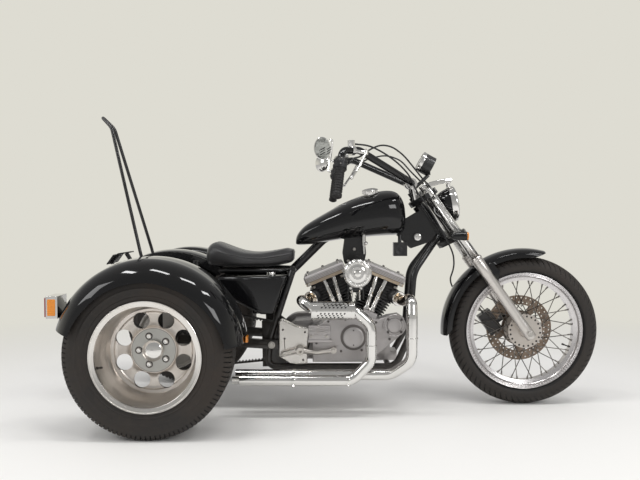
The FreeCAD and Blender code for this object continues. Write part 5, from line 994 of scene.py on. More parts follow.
def drilled_ring(shape, centre, axis, *sizes, count, start=0.0):
    """A flat ring with round holes: each cell is swept from its hole's circle out to its own border,
    point = (1 - k) * circle + k * border, on both faces, with walls in the holes and round the ring.

    sizes: inner and outer radius, hole's radius, holes' reach from the middle and half the thickness."""
    inner, outer, hole, hole_reach, half = np.array(sizes) * MM
    axis, wide = unit(axis), math.pi / count
    u, w = across(axis)
    border = round_border([(outer, -wide), (outer, wide), (inner, wide), (inner, -wide)], 8)
    flat = border[:, :1] * np.stack([np.cos(border[:, 1]), np.sin(border[:, 1])], 1)
    spot = np.array([hole_reach, 0.0])
    hole_edge = spot + hole * unit(flat - spot)
    n = len(border)
    loops = [hole_edge, hole_edge + 0.5 * (flat - hole_edge), flat]
    layers = [(loop, -half) for loop in loops] + [(loop, half) for loop in loops[::-1]]
    cell = np.stack([np.concatenate([loop, np.full((n, 1), level)], 1) for loop, level in layers])
    keep = np.ones((6, n), bool)
    keep[2, 8:16] = keep[2, 24:] = False
    faces = quads(6, n, True, True).reshape(6, n, 4)[keep]
    points, groups = [], []
    for step in range(count):
        a = start + TAU * step / count
        turn = np.array([[math.cos(a), -math.sin(a)], [math.sin(a), math.cos(a)]])
        points.append(np.concatenate([cell[..., :2] @ turn.T, cell[..., 2:]], -1).reshape(-1, 3))
        groups.append(faces + step * 6 * n)
    merged, back = joined(np.concatenate(points))
    placed = centre + merged[:, :1] * u + merged[:, 1:2] * w + merged[:, 2:] * axis
    return shape.add(placed, back[np.concatenate(groups)])


def knob(shape, place, axis, radius, height, edge=0.6, count=24):
    """A short round stud with a soft upper edge; sizes in millimetres."""
    return lathe(shape, [(0, radius), (height - edge, radius), (height - edge * 0.3, radius - edge * 0.3),
                         (height, radius - edge)], place, axis, count)


LUG_REACH = 57.15 * MM
SPOKE_PAIRS = 10


class TRIKE_OT_rear_wheels(Operator):
    """Make the stepped lips, hubs, wheel nuts and valves of the rear wheels, with dark rings round the nuts as painted
    shade in their wells
    """
    bl_idname = "trike.rear_wheels"
    bl_label = "Rear Wheels"

    def execute(self, context):
        for word, axle, side in (("right", RIGHT_AXLE, -1), ("left", LEFT_AXLE, 1)):
            wheel, out = word + "_wheel", side * Y
            lip = [(106.5, 208.3), (110.6, 208.2), (111.6, 206.8), (111.2, 204.9), (109.7, 204.0), (109.5, 199.4),
                   (108.9, 198.6), (108.8, 193), (108.3, 192.2), (108.2, 189), (107, 187.4), (96, 187), (95, 188.2)]
            ring(Shape(), lip, axle, out, 144).make(wheel + "_lip", wheel, "rim_lip")
            hub = Shape()
            lathe(hub, [(-54, 14.5), (-93, 14.5), (-93, 72), (-87, 80), (-47.4, 80), (-47.4, 33), (-39.7, 33),
                        (-39.7, 41), (-25, 41), (-23.5, 40.6), (-22.4, 39), (-18.5, 33.5), (-15, 26), (-12.4, 17),
                        (-10.8, 8), (-10.4, 3)], axle, out, 64)
            nut = Shape()
            lathe(nut, [(0.2, 9.2), (7.5, 9.2), (9.2, 7.4), (9.2, 4.2), (5.0, 4.2)], 0 * Z, Z, 6)
            lathe(nut, [(0.2, 10.4), (1.6, 10.4), (2.6, 9.4)], 0 * Z, Z, 20)
            wells, seats = Shape(), []
            for step in range(5):
                a = math.pi + TAU * step / 5 * (1 if side > 0 else -1)
                seats.append(axle + LUG_REACH * wheelwise(a) + out * -0.0399)
            bolts(hub, nut, seats, out)
            # Dark rings round each nut: painted shade standing in for the recess of its well.
            for seat in seats:
                ring(wells, [(-1, 11.0), (3.0, 11.4), (3.4, 12.2), (3.1, 13.6), (-1, 14.6)], seat, out, 28)
                knob(wells, seat - out * 0.0006, out, 11.2, 0.8, 0.2)
            hub.make(word + "_hub_dome", word + "_hub", "chrome", (word + "_hub",))
            wells.make(word + "_nut_well_shade", wheel, "dark_and_painted_shade")
            valve = Shape()
            reach = wheelwise(math.radians(193.5))
            foot = axle + reach * 0.1868 + out * 0.082
            lathe(valve, [(-3, 5.5), (2, 5.2), (5, 3.6), (20, 3.2), (21, 4.4), (30, 4.4), (31, 3.6)],
                  foot, unit(out * 0.6 - reach * 0.8), 20)
            valve.make(word + "_valve", wheel, "rubber")
        return {"FINISHED"}


class TRIKE_OT_front_wheel(Operator):
    """Make the drilled brake disc, the hub plate, rim beads and spoke nipples of the front wheel"""
    bl_idname = "trike.front_wheel"
    bl_label = "Front Wheel"

    def execute(self, context):
        disc = Shape()
        place = FRONT_AXLE + Y * 0.060
        drilled_ring(disc, place, Y, 15.5, 78.5, 4.2, 52.0, 2.1, count=5)
        spans = Shape()
        outline = softened([(76, -13), (106, -22), (106, 22), (76, 13)], 6)
        for turn in wheel_turns(5, 0.3):
            plate(spans, outline, -2.1, 2.1, place, turn @ X, turn @ Z * -1, 0.5)
        drilled_ring(disc, place, Y, 104.5, 125.2, 3.2, 114.5, 2.4, count=40)
        drilled_ring(disc, place, Y, 125.0, 145.8, 3.2, 135.5, 2.4, count=40, start=math.pi / 40)
        disc.array(spans, [(np.eye(3), 0 * Z)])
        disc.make("drilled_brake_disc", "front_brake_disc", "disc", ("front_brake_disc",))
        buttons = Shape()
        for turn in wheel_turns(10, 0.3 + 0.14):
            knob(buttons, place + turn @ X * 0.099 - Y * 0.0042, Y, 4.2, 8.4, 1, 16)
        buttons.make("disc_buttons", "front_brake_disc", "steel")
        cover = Shape()
        drilled_ring(cover, FRONT_AXLE - Y * 0.0462, Y, 26.5, 73.5, 4.4, 65.0, 1.3, count=20, start=0.1)
        ring(cover, [(-47.6, 22.3), (-44.8, 22.3), (-44.8, 27.5), (-49.0, 26.5)], FRONT_AXLE, Y, 48)
        cover.make("hub_plate", "front_hub", "hub")
        shade = ring(Shape(), [(-45.6, 59.5), (-44.5, 59.5), (-44.5, 70.5), (-45.6, 70.5)], FRONT_AXLE, Y, 60)
        shade.make("hub_plate_shade", "front_hub", "dial")
        beads = Shape()
        for side in (-1, 1):
            for level, radius, thick in ((37.4, 253.2, 1.7), (37.1, 248.6, 0.8), (36.9, 244.6, 0.8),
                                         (36.5, 240.9, 1.2)):
                ring(beads, circle(side * level, radius, thick, 8), FRONT_AXLE, Y, 160)
        beads.make("rim_beads", "front_rim", "rim")
        valve = Shape()
        reach = wheelwise(math.radians(-20))
        lathe(valve, [(0, 4.6), (4, 4.4), (5, 2.8), (22, 2.8), (23, 4.2), (33, 4.2), (34, 3.4)],
              FRONT_AXLE + reach * 0.2205, -reach, 16)
        valve.make("front_valve", "front_rim", "rubber")
        nipple = Shape()
        lathe(nipple, [(0, 4.4), (1.6, 4.4), (2.6, 3.0), (9, 2.6)], 0 * Z, Z, 8)
        seats = Shape()
        for side in (-1, 1):
            for pair in range(SPOKE_PAIRS):
                for lean in (-1, 1):
                    a = TAU * (pair + 0.25 * (side + 1)) / SPOKE_PAIRS + math.radians(lean * 48)
                    inward = -wheelwise(a)
                    spot = FRONT_AXLE - inward * 0.2192 + Y * side * (8 if lean > 0 else 3.4) * MM
                    seats.array(nipple, [(turn_to(inward), spot)])
        seats.make("spoke_nipples", "front_spokes", "steel")
        return {"FINISHED"}


def swollen(node, name, reach):
    """The node's solid as an even mesh, blown up as cloth from a slightly smaller shape.

    No point moves further than reach; the lowest part, which rests on the frame, stays flat."""
    scene = bpy.context.scene
    mesh = frame["nodes"][node].data.copy()
    mesh.materials.clear()
    work = bmesh.new()
    work.from_mesh(mesh)
    bmesh.ops.remove_doubles(work, verts=work.verts, dist=1e-5)
    bmesh.ops.recalc_face_normals(work, faces=work.faces)
    work.to_mesh(mesh)
    work.free()
    pad = bpy.data.objects.new(name, mesh)
    scene.collection.objects.link(pad)
    even = pad.modifiers.new("Even Mesh", "REMESH")
    even.mode = "VOXEL"
    even.voxel_size = 0.005
    shrink = pad.modifiers.new("Smaller", "DISPLACE")
    shrink.strength = -0.5 * reach
    shrink.mid_level = 0.0
    soften = pad.modifiers.new("Round Corners", "SMOOTH")
    soften.iterations = 8

    def settled():
        """The pad's mesh as its modifiers leave it."""
        bpy.context.view_layer.update()
        return bpy.data.meshes.new_from_object(pad.evaluated_get(bpy.context.evaluated_depsgraph_get()))

    pad.data = settled()
    pad.modifiers.clear()
    count = len(pad.data.vertices)
    start = np.empty(count * 3, np.float32)
    pad.data.vertices.foreach_get("co", start)
    start = start.reshape(-1, 3)
    cloth = pad.modifiers.new("Cloth", "CLOTH")
    cloth.settings.use_pressure = True
    cloth.settings.uniform_pressure_force = 4.0
    cloth.settings.effector_weights.gravity = 0.0
    for step in range(1, 21):
        scene.frame_set(step)
    blown = settled()
    end = np.empty(count * 3, np.float32)
    blown.vertices.foreach_get("co", end)
    move = end.reshape(-1, 3) - start
    length = np.linalg.norm(move, axis=1, keepdims=True)
    low = start[:, 2:].min()
    lift = np.clip((start[:, 2:] - low - 0.004) / 0.03, 0, 1)
    move *= np.minimum(1, reach / np.maximum(length, 1e-9)) * lift
    pad.data.vertices.foreach_set("co", (start + move).ravel())
    pad.modifiers.clear()
    scene.frame_set(1)
    return pad


def round_the(pad, level, count=120):
    """Points where rays from outside, aimed at the middle line, meet the pad at a height for each x."""
    low, high = np.array(pad.bound_box).min(0), np.array(pad.bound_box).max(0)
    mid, half = (low + high) / 2, (high - low) / 2
    hits = []
    for t in np.linspace(0, TAU, count, endpoint=False):
        x = mid[0] + half[0] * 0.97 * math.copysign(abs(math.cos(t)) ** 0.8, math.cos(t))
        aim = np.array([mid[0] + (x - mid[0]) * 0.82, mid[1], level(x)])
        origin = np.array([mid[0] + half[0] * 1.6 * math.cos(t), mid[1] + half[1] * 1.6 * math.sin(t), level(x)])
        hit, spot, normal, face = pad.ray_cast(Vector(origin), Vector(aim - origin).normalized())
        if hit:
            hits.append(np.array(spot))
    return np.array(hits)


def closed_tube(shape, path, radius, sides=8):
    """Carry a circle round a closed path; up is kept near +Z."""
    tangent, t = unit(np.roll(path, -1, 0) - np.roll(path, 1, 0)), around(sides)
    side = unit(np.cross(tangent, Z))
    spin = np.cos(t) * side[:, None] + np.sin(t) * np.cross(side, tangent)[:, None]
    return shape.add(path[:, None] + radius * MM * spin, quads(len(path), sides, True, True))


def evened(path, count):
    """Even steps along a closed path, with its small jumps smoothed out."""
    for step in range(6):
        path = 0.5 * path + 0.25 * (np.roll(path, 1, 0) + np.roll(path, -1, 0))
    loop = np.concatenate([path, path[:1]])
    run = np.concatenate([[0], np.cumsum(np.linalg.norm(np.diff(loop, axis=0), axis=1))])
    even = np.linspace(0, run[-1], count, endpoint=False)
    return np.stack([np.interp(even, run, loop[:, i]) for i in range(3)], 1)


class TRIKE_OT_seat(Operator):
    """Make the padded seat, the piping round its top panel and the seam above its base"""
    bl_idname = "trike.seat"
    bl_label = "Seat"

    def execute(self, context):
        sizes = context.scene.trike_shapes
        pad = swollen("seat", "seat_cushion", sizes.seat_bulge)
        tops = np.array([(-592, 668), (-556, 716), (-520, 706), (-470, 686), (-420, 672), (-360, 667), (-300, 674),
                         (-250, 684), (-207, 694)]) * MM
        lows = np.array([(-592, 630), (-556, 606), (-360, 606), (-300, 608), (-250, 618), (-207, 636)]) * MM

        def rim(x):
            """Height of the upper piping at x."""
            return np.interp(x, tops[:, 0], tops[:, 1]) - 0.022

        def hem(x):
            """Height of the lower seam at x."""
            return np.interp(x, lows[:, 0], lows[:, 1]) + 0.010

        trim = Shape()
        closed_tube(trim, evened(round_the(pad, rim), 200), 2.1)
        closed_tube(trim, evened(round_the(pad, hem), 200), 1.6)
        pad.data.materials.clear()
        pad.data.materials.append(FINISHES["seat"])
        pad.data.shade_smooth()
        fine = pad.modifiers.new("Fine Mesh", "SUBSURF")
        fine.levels = fine.render_levels = 1
        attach(pad, BODY_OF["seat"])
        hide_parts("seat")
        trim.make("seat_piping", "seat", "piping")
        return {"FINISHED"}


LEAN = math.radians(22.5)
CRANK = at(52, 0, 268)


def up_bore(sign, along, ahead=0.0, aside=0.0):
    """A place on a cylinder's own axes: along its bore, across it and to the side, in millimetres."""
    bore = np.array([math.sin(LEAN) * sign, 0, math.cos(LEAN)])
    square = np.array([math.cos(LEAN), 0, -math.sin(LEAN) * sign])
    return CRANK + (bore * along + square * ahead + Y * aside) * MM


def screws(places, size, face, kind=hex_bolt):
    """Bolt heads at (x, z) places on a face square to Y; the face's sign says which way they look."""
    out = Y * math.copysign(1, face)
    return bolts(Shape(), kind(size), [at(x, face, z) for x, z in places], out)


class TRIKE_OT_covers(Operator):
    """Make the round covers, bolts and ribs on both sides of the engine, and dark rings round the covers as painted
    shade of their gaps
    """
    bl_idname = "trike.covers"
    bl_label = "Engine Covers"

    def execute(self, context):
        bolt = context.scene.trike_shapes.bolt_size / MM
        gear = -150.3
        wells, discs = Shape(), Shape()
        timer = at(44, gear - 5, 317)
        front = at(216, gear - 12, 368)
        # Dark rings round the timer cover and the front cover: painted shade of the gaps round them.
        ring(wells, [(-1, 44.2), (7.4, 44.2), (7.4, 45.0), (5.6, 46.2), (5.2, 49.0), (3.0, 54.2), (-1, 54.8)],
             timer, -Y, 96)
        ring(wells, [(-3, 31.0), (0.5, 31.0), (0.9, 32.4), (-3, 33.2)], front, -Y, 72)
        lathe(discs, [(5, 42.6), (8.6, 42.6), (9.8, 41.2), (10.6, 36), (10.9, 18), (11, 4)], timer, -Y, 96)
        lathe(discs, [(-2, 30.2), (1.6, 30.2), (2.8, 28.6), (3.8, 20), (4.2, 8), (4.3, 3)], front, -Y, 72)
        ring(discs, [(-3, 43), (1.6, 43), (2.6, 44), (2.6, 46.2), (1.4, 47.6), (-3, 47.8)], front, -Y, 96)
        discs.make("round_covers", "engine_cases", "cover")
        bolts(wells, socket_bolt(6.2), [timer + at(0, -10.9, 31), timer + at(0, -10.9, -31)], -Y)
        bolts(wells, socket_bolt(10.5), [front + 38.5 * MM * wheelwise(a) - Y * 0.0005
                                         for a in np.radians((135, 40, -45, 225))], -Y)
        near = screws([(-8, 258), (79, 262), (128, 238), (-112, 292), (-117, 340), (140, 380), (196, 309), (236, 330),
                       (100, 392), (10, 392), (-62, 384)], bolt * 0.72, gear - 0.1, socket_bolt)
        # The screws share one piece with the dark rings, which are painted shade of the cover gaps.
        near.array(wells, [(np.eye(3), 0 * Z)])
        near.make("cover_screws", "drive_pulleys", "dark_and_painted_shade")
        pump = Shape()
        outline = softened([(-146, 300), (-58, 300), (-54, 340), (-54, 368), (-146, 368)], 5)
        plate(pump, outline, -1, 9, at(0, gear, 0), X, Z, 1.8)
        for z in (356, 343, 330):
            tube(pump, [at(x, gear - 9, z) for x in (-142, -100, -58)], 4.8 if z > 350 else 2.8, 14)
        foot = softened([(-150, 296), (-46, 296), (-46, 308), (-150, 308)], 3)
        plate(pump, foot, -1, 13, at(0, gear, 0), X, Z, 2)
        pump.make("pump_cover", "engine_cases", "cover")
        screws([(-134, 322), (-70, 322)], bolt * 0.8, gear - 9.2).make("pump_bolts", "drive_pulleys", "steel")
        sprocket = -160.4
        plates = screws([(-253, 350), (-246, 312), (-160, 340), (-168, 222)], bolt * 0.62, sprocket, socket_bolt)
        tube(plates, [at(x, sprocket - 0.2, z) for x, z in ((-246, 306), (-246, 286), (-244, 266))], 1.6, 8)
        plates.make("sprocket_cover_screws", "sprocket_cover", "dark_and_painted_shade")
        arm = Shape()
        spine = curve_through(MM * np.array([
            (-262, -185, 248), (-228, -186, 256), (-200, -187, 262), (-180, -187, 268),
            (-150, -183, 262), (-110, -175, 256), (-70, -166, 258), (-44, -163, 264)]), 60)
        wide = np.interp(np.linspace(0, 1, 60), (0, 0.05, 0.3, 0.42, 0.52, 0.8, 0.96, 1),
                         (6, 10, 12, 17, 13, 10, 12, 8))
        tube(arm, spine, wide, 16, 0.62)
        bolts(arm, hex_bolt(bolt * 1.1), [at(-40, -176, 264)], -Y)
        lathe(arm, [(0, 16.6), (24, 16.6), (26, 15.4), (26, 9.5), (14, 9.5)], at(-180, -178, 266), -Y, 36)
        arm.make("footrest_forging", "foot_controls", "forged")
        primary = 162.7
        trims = Shape()
        for x, z, r in ((-190, 292, 56), (104, 303, 62)):
            top = at(x, primary + (9 if r < 60 else 8), z)
            ring(trims, [(-1, r - 9), (0.8, r - 9), (1.8, r - 7), (1.0, r - 3), (-1, r - 2)], top, Y, 80)
            bolts(trims, socket_bolt(9),
                  [top + (r - 14) * MM * wheelwise(0.5 + TAU * step / 6) for step in range(6)], Y)
        rim = [(-236, 330), (-196, 372), (-120, 382), (-20, 392), (60, 396), (152, 388), (196, 340), (190, 262),
               (150, 222), (60, 213), (-60, 213), (-170, 215)]
        bolts(trims, socket_bolt(bolt * 0.62), [at(x, primary, z) for x, z in rim], Y)
        trims.make("primary_screws", "engine_cases", "steel")
        return {"FINISHED"}


class TRIKE_OT_tops(Operator):
    """Make the lines, joints and bolts of the rocker boxes, the head bolts and the pushrod collars"""
    bl_idname = "trike.tops"
    bl_label = "Engine Tops"

    def execute(self, context):
        base = 313.9
        lines, joints, gaskets, heads, collars = Shape(), Shape(), Shape(), Shape(), Shape()
        for sign in (-1, 1):
            up = unit(up_bore(sign, 1) - up_bore(sign, 0))
            for side in (-1, 1):
                for shape, level, wide, face, thick in (
                        (lines, 20, 86, 100.1, 0.85), (lines, 25.5, 86, 100.1, 0.85), (lines, 31, 86, 100.1, 0.85),
                        (gaskets, 2.6, 92, 97.2, 1.6), (gaskets, 8, 91.5, 97.2, 1.3), (gaskets, 12.6, 92, 97.2, 1.5),
                        (joints, 13.9, 92, 100.2, 1.1)):
                    tube(shape, [up_bore(sign, base + level, a, side * face) for a in (-wide, 0, wide)], thick, 8)
                bolts(heads, hex_bolt(12), [up_bore(sign, base + 6, a, side * 97.4) for a in (-80, 80)], side * Y)
                tube(joints, [up_bore(sign, base + 13.9, side * 92.2, a) for a in (-97, 0, 97)], 1.1, 8)
            bolts(heads, socket_bolt(11.5), [up_bore(sign, base + 44, ahead, side)
                                             for ahead in (-72, 0, 72) for side in (-74, 74)], up)
            bolts(heads, hex_bolt(16), [up_bore(sign, 304, ahead, side)
                                        for ahead in (-66, 66) for side in (-78, 78)], -up)
            inner, outer = (-14, 30) if sign < 0 else (14, -30)
            for step in (inner, outer):
                foot, top = up_bore(sign, 167.3, step * 0.55, -90), up_bore(sign, base - 1.4, step, -90)
                run = unit(top - foot)
                for along, r in ((22, 12.4), (25, 12.8), (28, 12.4), (64, 11.2), (66, 11.6)):
                    ring(collars, circle(along, r - 1, 1.3, 8), foot, run, 24)
        lines.make("rocker_lines", "rocker_covers", "dark_and_painted_shade")
        joints.make("rocker_joints", "rocker_covers", "dark_and_painted_shade")
        gaskets.make("rocker_gaskets", "rocker_covers", "brass")
        heads.make("head_bolts", "drive_pulleys", "steel")
        collars.make("pushrod_collars", "pushrod_tubes", "chrome")
        return {"FINISHED"}


class TRIKE_OT_intake(Operator):
    """Make the air cleaner's rings, the carburettor below it and the bracket over the engine"""
    bl_idname = "trike.intake"
    bl_label = "Intake"

    def execute(self, context):
        centre = at(56, -262, 595)
        face = Shape()
        lathe(face, [(-9.5, 25), (-4.2, 25), (-3.2, 24), (-3.2, 15), (-0.8, 13.6), (1.8, 12.2), (3.4, 8), (3.8, 3)],
              centre, -Y, 64)
        for level, reach, thick in ((-3.0, 43.6, 1.5), (-2.4, 47.4, 1.1), (-13.0, 56.6, 1.6)):
            ring(face, circle(level, reach, thick, 10), centre, -Y, 96)
        face.make("air_cleaner_rings", "air_cleaner", "chrome")
        carb = Shape()
        lathe(carb, [(0, 22), (4, 27), (34, 28), (42, 27), (44, 24), (58, 22), (62, 16)], at(56, -76, 562), -Z, 40)
        bowl = softened([(-34, -30), (34, -30), (36, 24), (-36, 24)], 7)
        plate(carb, bowl, -26, 26, at(56, -76, 536), X, Z, 3)
        for x in (24, 88):
            tube(carb, [at(x, -92, 470), at(x, -92, 508), at(x, -88, 548)], 5.2, 12)
        carb.make("carburettor_body", "carburettor", "satin")
        trim = bolts(Shape(), hex_bolt(10), [at(34, -104.4, 520), at(78, -104.4, 520)], -Y)
        for x in (40, 72):
            tube(trim, [at(x, -103, 468), at(x, -104, 490), at(x, -103, 512)], 4, 12)
        trim.make("carburettor_trim", "carburettor", "chrome")
        mount = Shape()
        hang = softened([(10, 618), (94, 618), (104, 664), (96, 736), (12, 736), (2, 664)], 8)
        for y in (-40, 34):
            plate(mount, hang, 0, 5, at(0, y, 0), X, Z, 1.2)
        plate(mount, softened([(18, 640), (88, 640), (88, 700), (18, 700)], 6), -34, 34, 0 * Z, X, Z, 2)
        mount.make("top_bracket", "main_frame", "frame")
        fix = bolts(Shape(), hex_bolt(15), [at(26, -40.2, 632), at(78, -40.2, 632), at(52, -40.2, 684)], -Y)
        fix.make("top_bracket_bolts", "drive_pulleys", "steel")
        return {"FINISHED"}


def drilled_sheet(shape, columns, rows, drilled, cell, hole, thick, bend_to):
    """A sheet of square cells, some with a round hole; bend_to carries (u, v, depth) into space."""
    border = round_border([(1, -1), (1, 1), (-1, 1), (-1, -1)], 4) * cell / 2
    n = len(border)
    points, four, many, count = [], [], [], 0
    for i in range(columns):
        for j in range(rows):
            holed = drilled(i, j)
            keep = np.ones((4, n), bool)
            keep[1] = np.repeat((i == columns - 1, j == rows - 1, i == 0, j == 0), 4)
            inside = hole * unit(border) if holed else border * 0.02
            if not holed:
                keep[3] = False
                many.append(np.stack([np.arange(n)[::-1], np.arange(3 * n, 4 * n)]) + count)
            for loop, level in ((inside, 0.0), (border, 0.0), (border, thick), (inside, thick)):
                points.append(np.concatenate([loop + (np.array([i, j]) + 0.5) * cell, np.full((n, 1), level)], 1))
            four.append(quads(4, n, True, True).reshape(4, n, 4)[keep] + count)
            count += 4 * n
    merged, back = joined(np.concatenate(points))
    return shape.add(bend_to(merged), back[np.concatenate(four)], back[np.concatenate(many)])


class TRIKE_OT_exhaust(Operator):
    """Make the clamps and flanges of the exhaust pipes, the perforated heat shield and a dark sheet under its holes as
    painted shade
    """
    bl_idname = "trike.exhaust"
    bl_label = "Exhaust"

    def execute(self, context):
        rear_y, front_y, low, high = -250, -197, 156, 443
        clamps = Shape()
        band = np.array([(-7, 22.4), (7, 22.4), (7, 24), (6, 24.8), (2.5, 25.2), (-2.5, 25.2), (-6, 24.8), (-7, 24)])
        for place, axis in ((at(18, rear_y, low), X), (at(112, rear_y, 300), Z), (at(278, rear_y, 330), Z),
                            (at(-205, rear_y, low), X), (at(-205, front_y, low + 12), X)):
            ring(clamps, band * (0.35, 1) if axis is Z else band, place, axis, 48)
        bolts(clamps, hex_bolt(10), [at(x, rear_y - 20, low - 17) for x in (18, -205)], unit(-Y - Z))
        for sign in (-1, 1):
            outer = up_bore(sign, 262, sign * 92, -96)
            out = unit(outer - up_bore(sign, 262, sign * 50, -20))
            ring(clamps, [(0, 22.2), (9, 22.2), (9, 30), (7, 32), (0, 32)], outer + out * 0.0003, out, 40)
        clamps.make("pipe_clamps", "exhaust_pipes", "chrome")
        length, reach, start, seam_turn = 0.176, 0.0388, math.radians(22), math.radians(97)
        cell = np.array([length / 22, reach * math.radians(150) / 12])

        def bend_to(p):
            """Roll the sheet round the pipe, its windows sheared and its ends drawn in towards the seam."""
            row = p[:, 1] / cell[1]
            window = np.clip(np.minimum(p[:, 0], length - p[:, 0]) / 0.03, 0, 1)
            along = p[:, 0] + window * 0.5 * cell[0] * (row - 6)
            angle = start + p[:, 1] / reach
            trim = 1 - 0.10 * np.clip(1 - np.minimum(along, length - along) / 0.014, 0, 1) ** 2
            radius = reach - p[:, 2]
            away = (angle - seam_turn) * trim + seam_turn
            return at(-132, rear_y, high) + np.stack([along, -radius * np.sin(away), -radius * np.cos(away)], 1)

        shield, hole_shade = Shape(), Shape()
        drilled_sheet(shield, 22, 12, lambda i, j: 4 <= i <= 17 and j in (2, 3, 4, 7, 8, 9) and (i + j) % 2, cell,
                      0.0037, 0.0016, bend_to)
        # A plain dark sheet just under the shield, so that its holes show painted shade.
        drilled_sheet(hole_shade, 19, 10, lambda i, j: False, cell, 0.003, 0.0006, lambda p: bend_to(p + (*cell, 0.0021)))
        hole_shade.make("shield_hole_shade", "main_frame", "dial")
        shield.make("perforated_shield", "heat_shield", "chrome", ("heat_shield",), 50)
        webs = Shape()
        for x in (-112, 22):
            for a in np.radians((35, 97, 160)):
                out, foot = np.array([0, -math.sin(a), -math.cos(a)]), at(x, rear_y, high)
                tube(webs, [foot + out * reach for reach in (0.021, 0.030, 0.0375)], 3.2, 10)
        webs.make("shield_webs", "heat_shield", "steel")
        seam = Shape()
        out = -Y * math.sin(math.radians(95)) - Z * math.cos(math.radians(95))
        place = [at(x, rear_y, high) + 0.0392 * out for x in (-128, -40, 38)]
        tube(seam, place, 1.1, 10)
        bolts(seam, socket_bolt(8), [place[1] - X * 0.07, place[1] + X * 0.07], out)
        seam.make("shield_seam", "heat_shield", "pipes")
        return {"FINISHED"}


class TRIKE_OT_fork(Operator):
    """Make the collars, caps, seals and bolts of the fork"""
    bl_idname = "trike.fork"
    bl_label = "Fork"

    def execute(self, context):
        bolt = context.scene.trike_shapes.bolt_size / MM
        caps, seals, fixings = Shape(), Shape(), Shape()
        upper, lower, seal, apart, edge, stem = 734, 518, 392, 95, 118.9, 26.8
        for side in (-1, 1):
            top, low = on_fork(upper, 0, side * apart), on_fork(lower, 0, side * apart)
            ring(caps, [(-12.6, 25), (-12.6, 27.6), (-10, 28.2), (10, 28.2), (12.6, 27.6), (12.6, 25)],
                 top, FORK_UP, 56)
            lathe(caps, [(11.8, 24), (15, 24), (17, 22), (18, 15), (18.2, 12)], top, FORK_UP, 48)
            lathe(caps, [(17.5, 12.5), (23, 12.5), (24.5, 10.5), (24.5, 4)], top, FORK_UP, 6)
            ring(caps, [(-15, 19.4), (-15, 22.5), (-12.4, 23), (-12.4, 19.4)], low, FORK_UP, 48)
            slider = on_fork(seal, 0, side * apart)
            ring(seals, [(-7, 20), (-7, 25.2), (-4, 26), (1, 26), (4, 24.4), (8, 21.5), (8, 19.6)],
                 slider, FORK_UP, 48)
            ring(fixings, [(-20, 24.2), (-20, 25.2), (-17, 25.2), (-17, 24.2)], slider, FORK_UP, 48)
            clamp = [on_fork(lower + step, stem, side * apart) for step in (-6, 6)]
            bolts(fixings, hex_bolt(bolt * 0.9), clamp, FORK_AHEAD)
            bolts(fixings, hex_bolt(bolt * 1.7), [on_fork(0, 0, side * edge)], Y * side)
            bolts(fixings, socket_bolt(8), [on_fork(60, 24.2, side * apart)], FORK_AHEAD)
        caps.make("fork_caps", "fork_tubes", "chrome")
        seals.make("dust_seals", "fork_sliders", "slider")
        fixings.make("fork_bolts", "fork_tubes", "steel")
        return {"FINISHED"}


class TRIKE_OT_headlamp(Operator):
    """Make the bezel, reflector, bulb and fluted glass of the headlamp"""
    bl_idname = "trike.headlamp"
    bl_label = "Headlamp"

    def execute(self, context):
        lean = math.radians(9)
        face, axis = at(487.9, 0, 881), wheelwise(lean)
        bezel = Shape()
        ring(bezel, [(-17, 73.2), (-17, 74.4), (-14, 75.4), (-2, 76.4), (3, 77.4), (8, 76.6), (11, 73.8), (11.6, 71),
                     (9.4, 69.2), (7.4, 71.8), (0.3, 73.2)], face, axis, 96)
        knob(bezel, face + at(0, 0, 76) + axis * -0.004, Z, 3.2, 3)
        bezel.make("headlamp_bezel", "mirrors", "chrome")
        bowl = Shape()
        lathe(bowl, [(0.4, 72.4), (6.6, 72.4), (6.4, 68.4), (4.2, 58), (2.2, 40), (1.2, 20), (1.0, 6)], face, axis, 96)
        lathe(bowl, [(0.8, 9), (8, 9), (11, 7.6), (12.6, 4)], face, axis, 32)
        bowl.make("reflector", "mirrors", "mirror")
        glass = Shape()
        lathe(glass, [(20.6, 3), (19.4, 24), (15.6, 46), (10.8, 60), (8.2, 67.6), (9.2, 71.2), (12.6, 66), (17.6, 52),
                      (21.6, 30), (23.4, 12), (23.8, 3)], face, axis, 96)
        glass.make("fluted_glass", "headlamp_lens", "fluted", ("headlamp_lens",))
        return {"FINISHED"}


class TRIKE_OT_dial(Operator):
    """Make the bezel, face, marks, needle and glass of the speedometer"""
    bl_idname = "trike.dial"
    bl_label = "Speedometer"

    def execute(self, context):
        lean = math.radians(28)
        face = at(343.9, 0, 1066)
        axis = np.array([-math.cos(lean), 0, math.sin(lean)])
        up = np.array([math.sin(lean), 0, math.cos(lean)])
        right = np.cross(-axis, up)
        bezel, dial, marks, needle, glass = (Shape() for step in range(5))
        ring(bezel, [(-10, 44.2), (-10, 45), (1, 45.8), (4, 45.2), (5.4, 43.4), (4.6, 40.9), (0.3, 40.9),
                     (0.3, 44.2)], face, axis, 80)
        lathe(dial, [(0.3, 40.8), (0.8, 40.8), (0.9, 39.0)], face, axis, 64)
        for step in range(25):
            a = math.radians(-132 + 11 * step)
            way = up * math.cos(a) + right * math.sin(a)
            start = 31 if step % 2 == 0 else 34.5
            level = face + axis * 0.0011
            tube(marks, [level + way * start * MM, level + way * 36 * MM, level + way * 38.4 * MM],
                 0.9 if step % 2 == 0 else 0.5, 6)
        a = math.radians(-128)
        way = up * math.cos(a) + right * math.sin(a)
        level = face + axis * 0.0022
        tube(needle, [level - way * 0.008, level, level + way * 0.030], (1.3, 1.2, 0.5), 8)
        knob(needle, face + axis * 0.001, axis, 4.2, 1.8)
        lathe(glass, [(3.2, 40.7), (3.9, 40.7), (4.2, 24), (4.3, 6)], face, axis, 64)
        bezel.make("dial_bezel", "mirrors", "chrome")
        dial.make("dial_face", "speedometer", "dial")
        marks.make("dial_marks", "speedometer", "figures")
        needle.make("dial_needle", "lamp_lenses", "needle", body="fork")
        glass.make("dial_glass", "headlamp_lens", "glass")
        return {"FINISHED"}


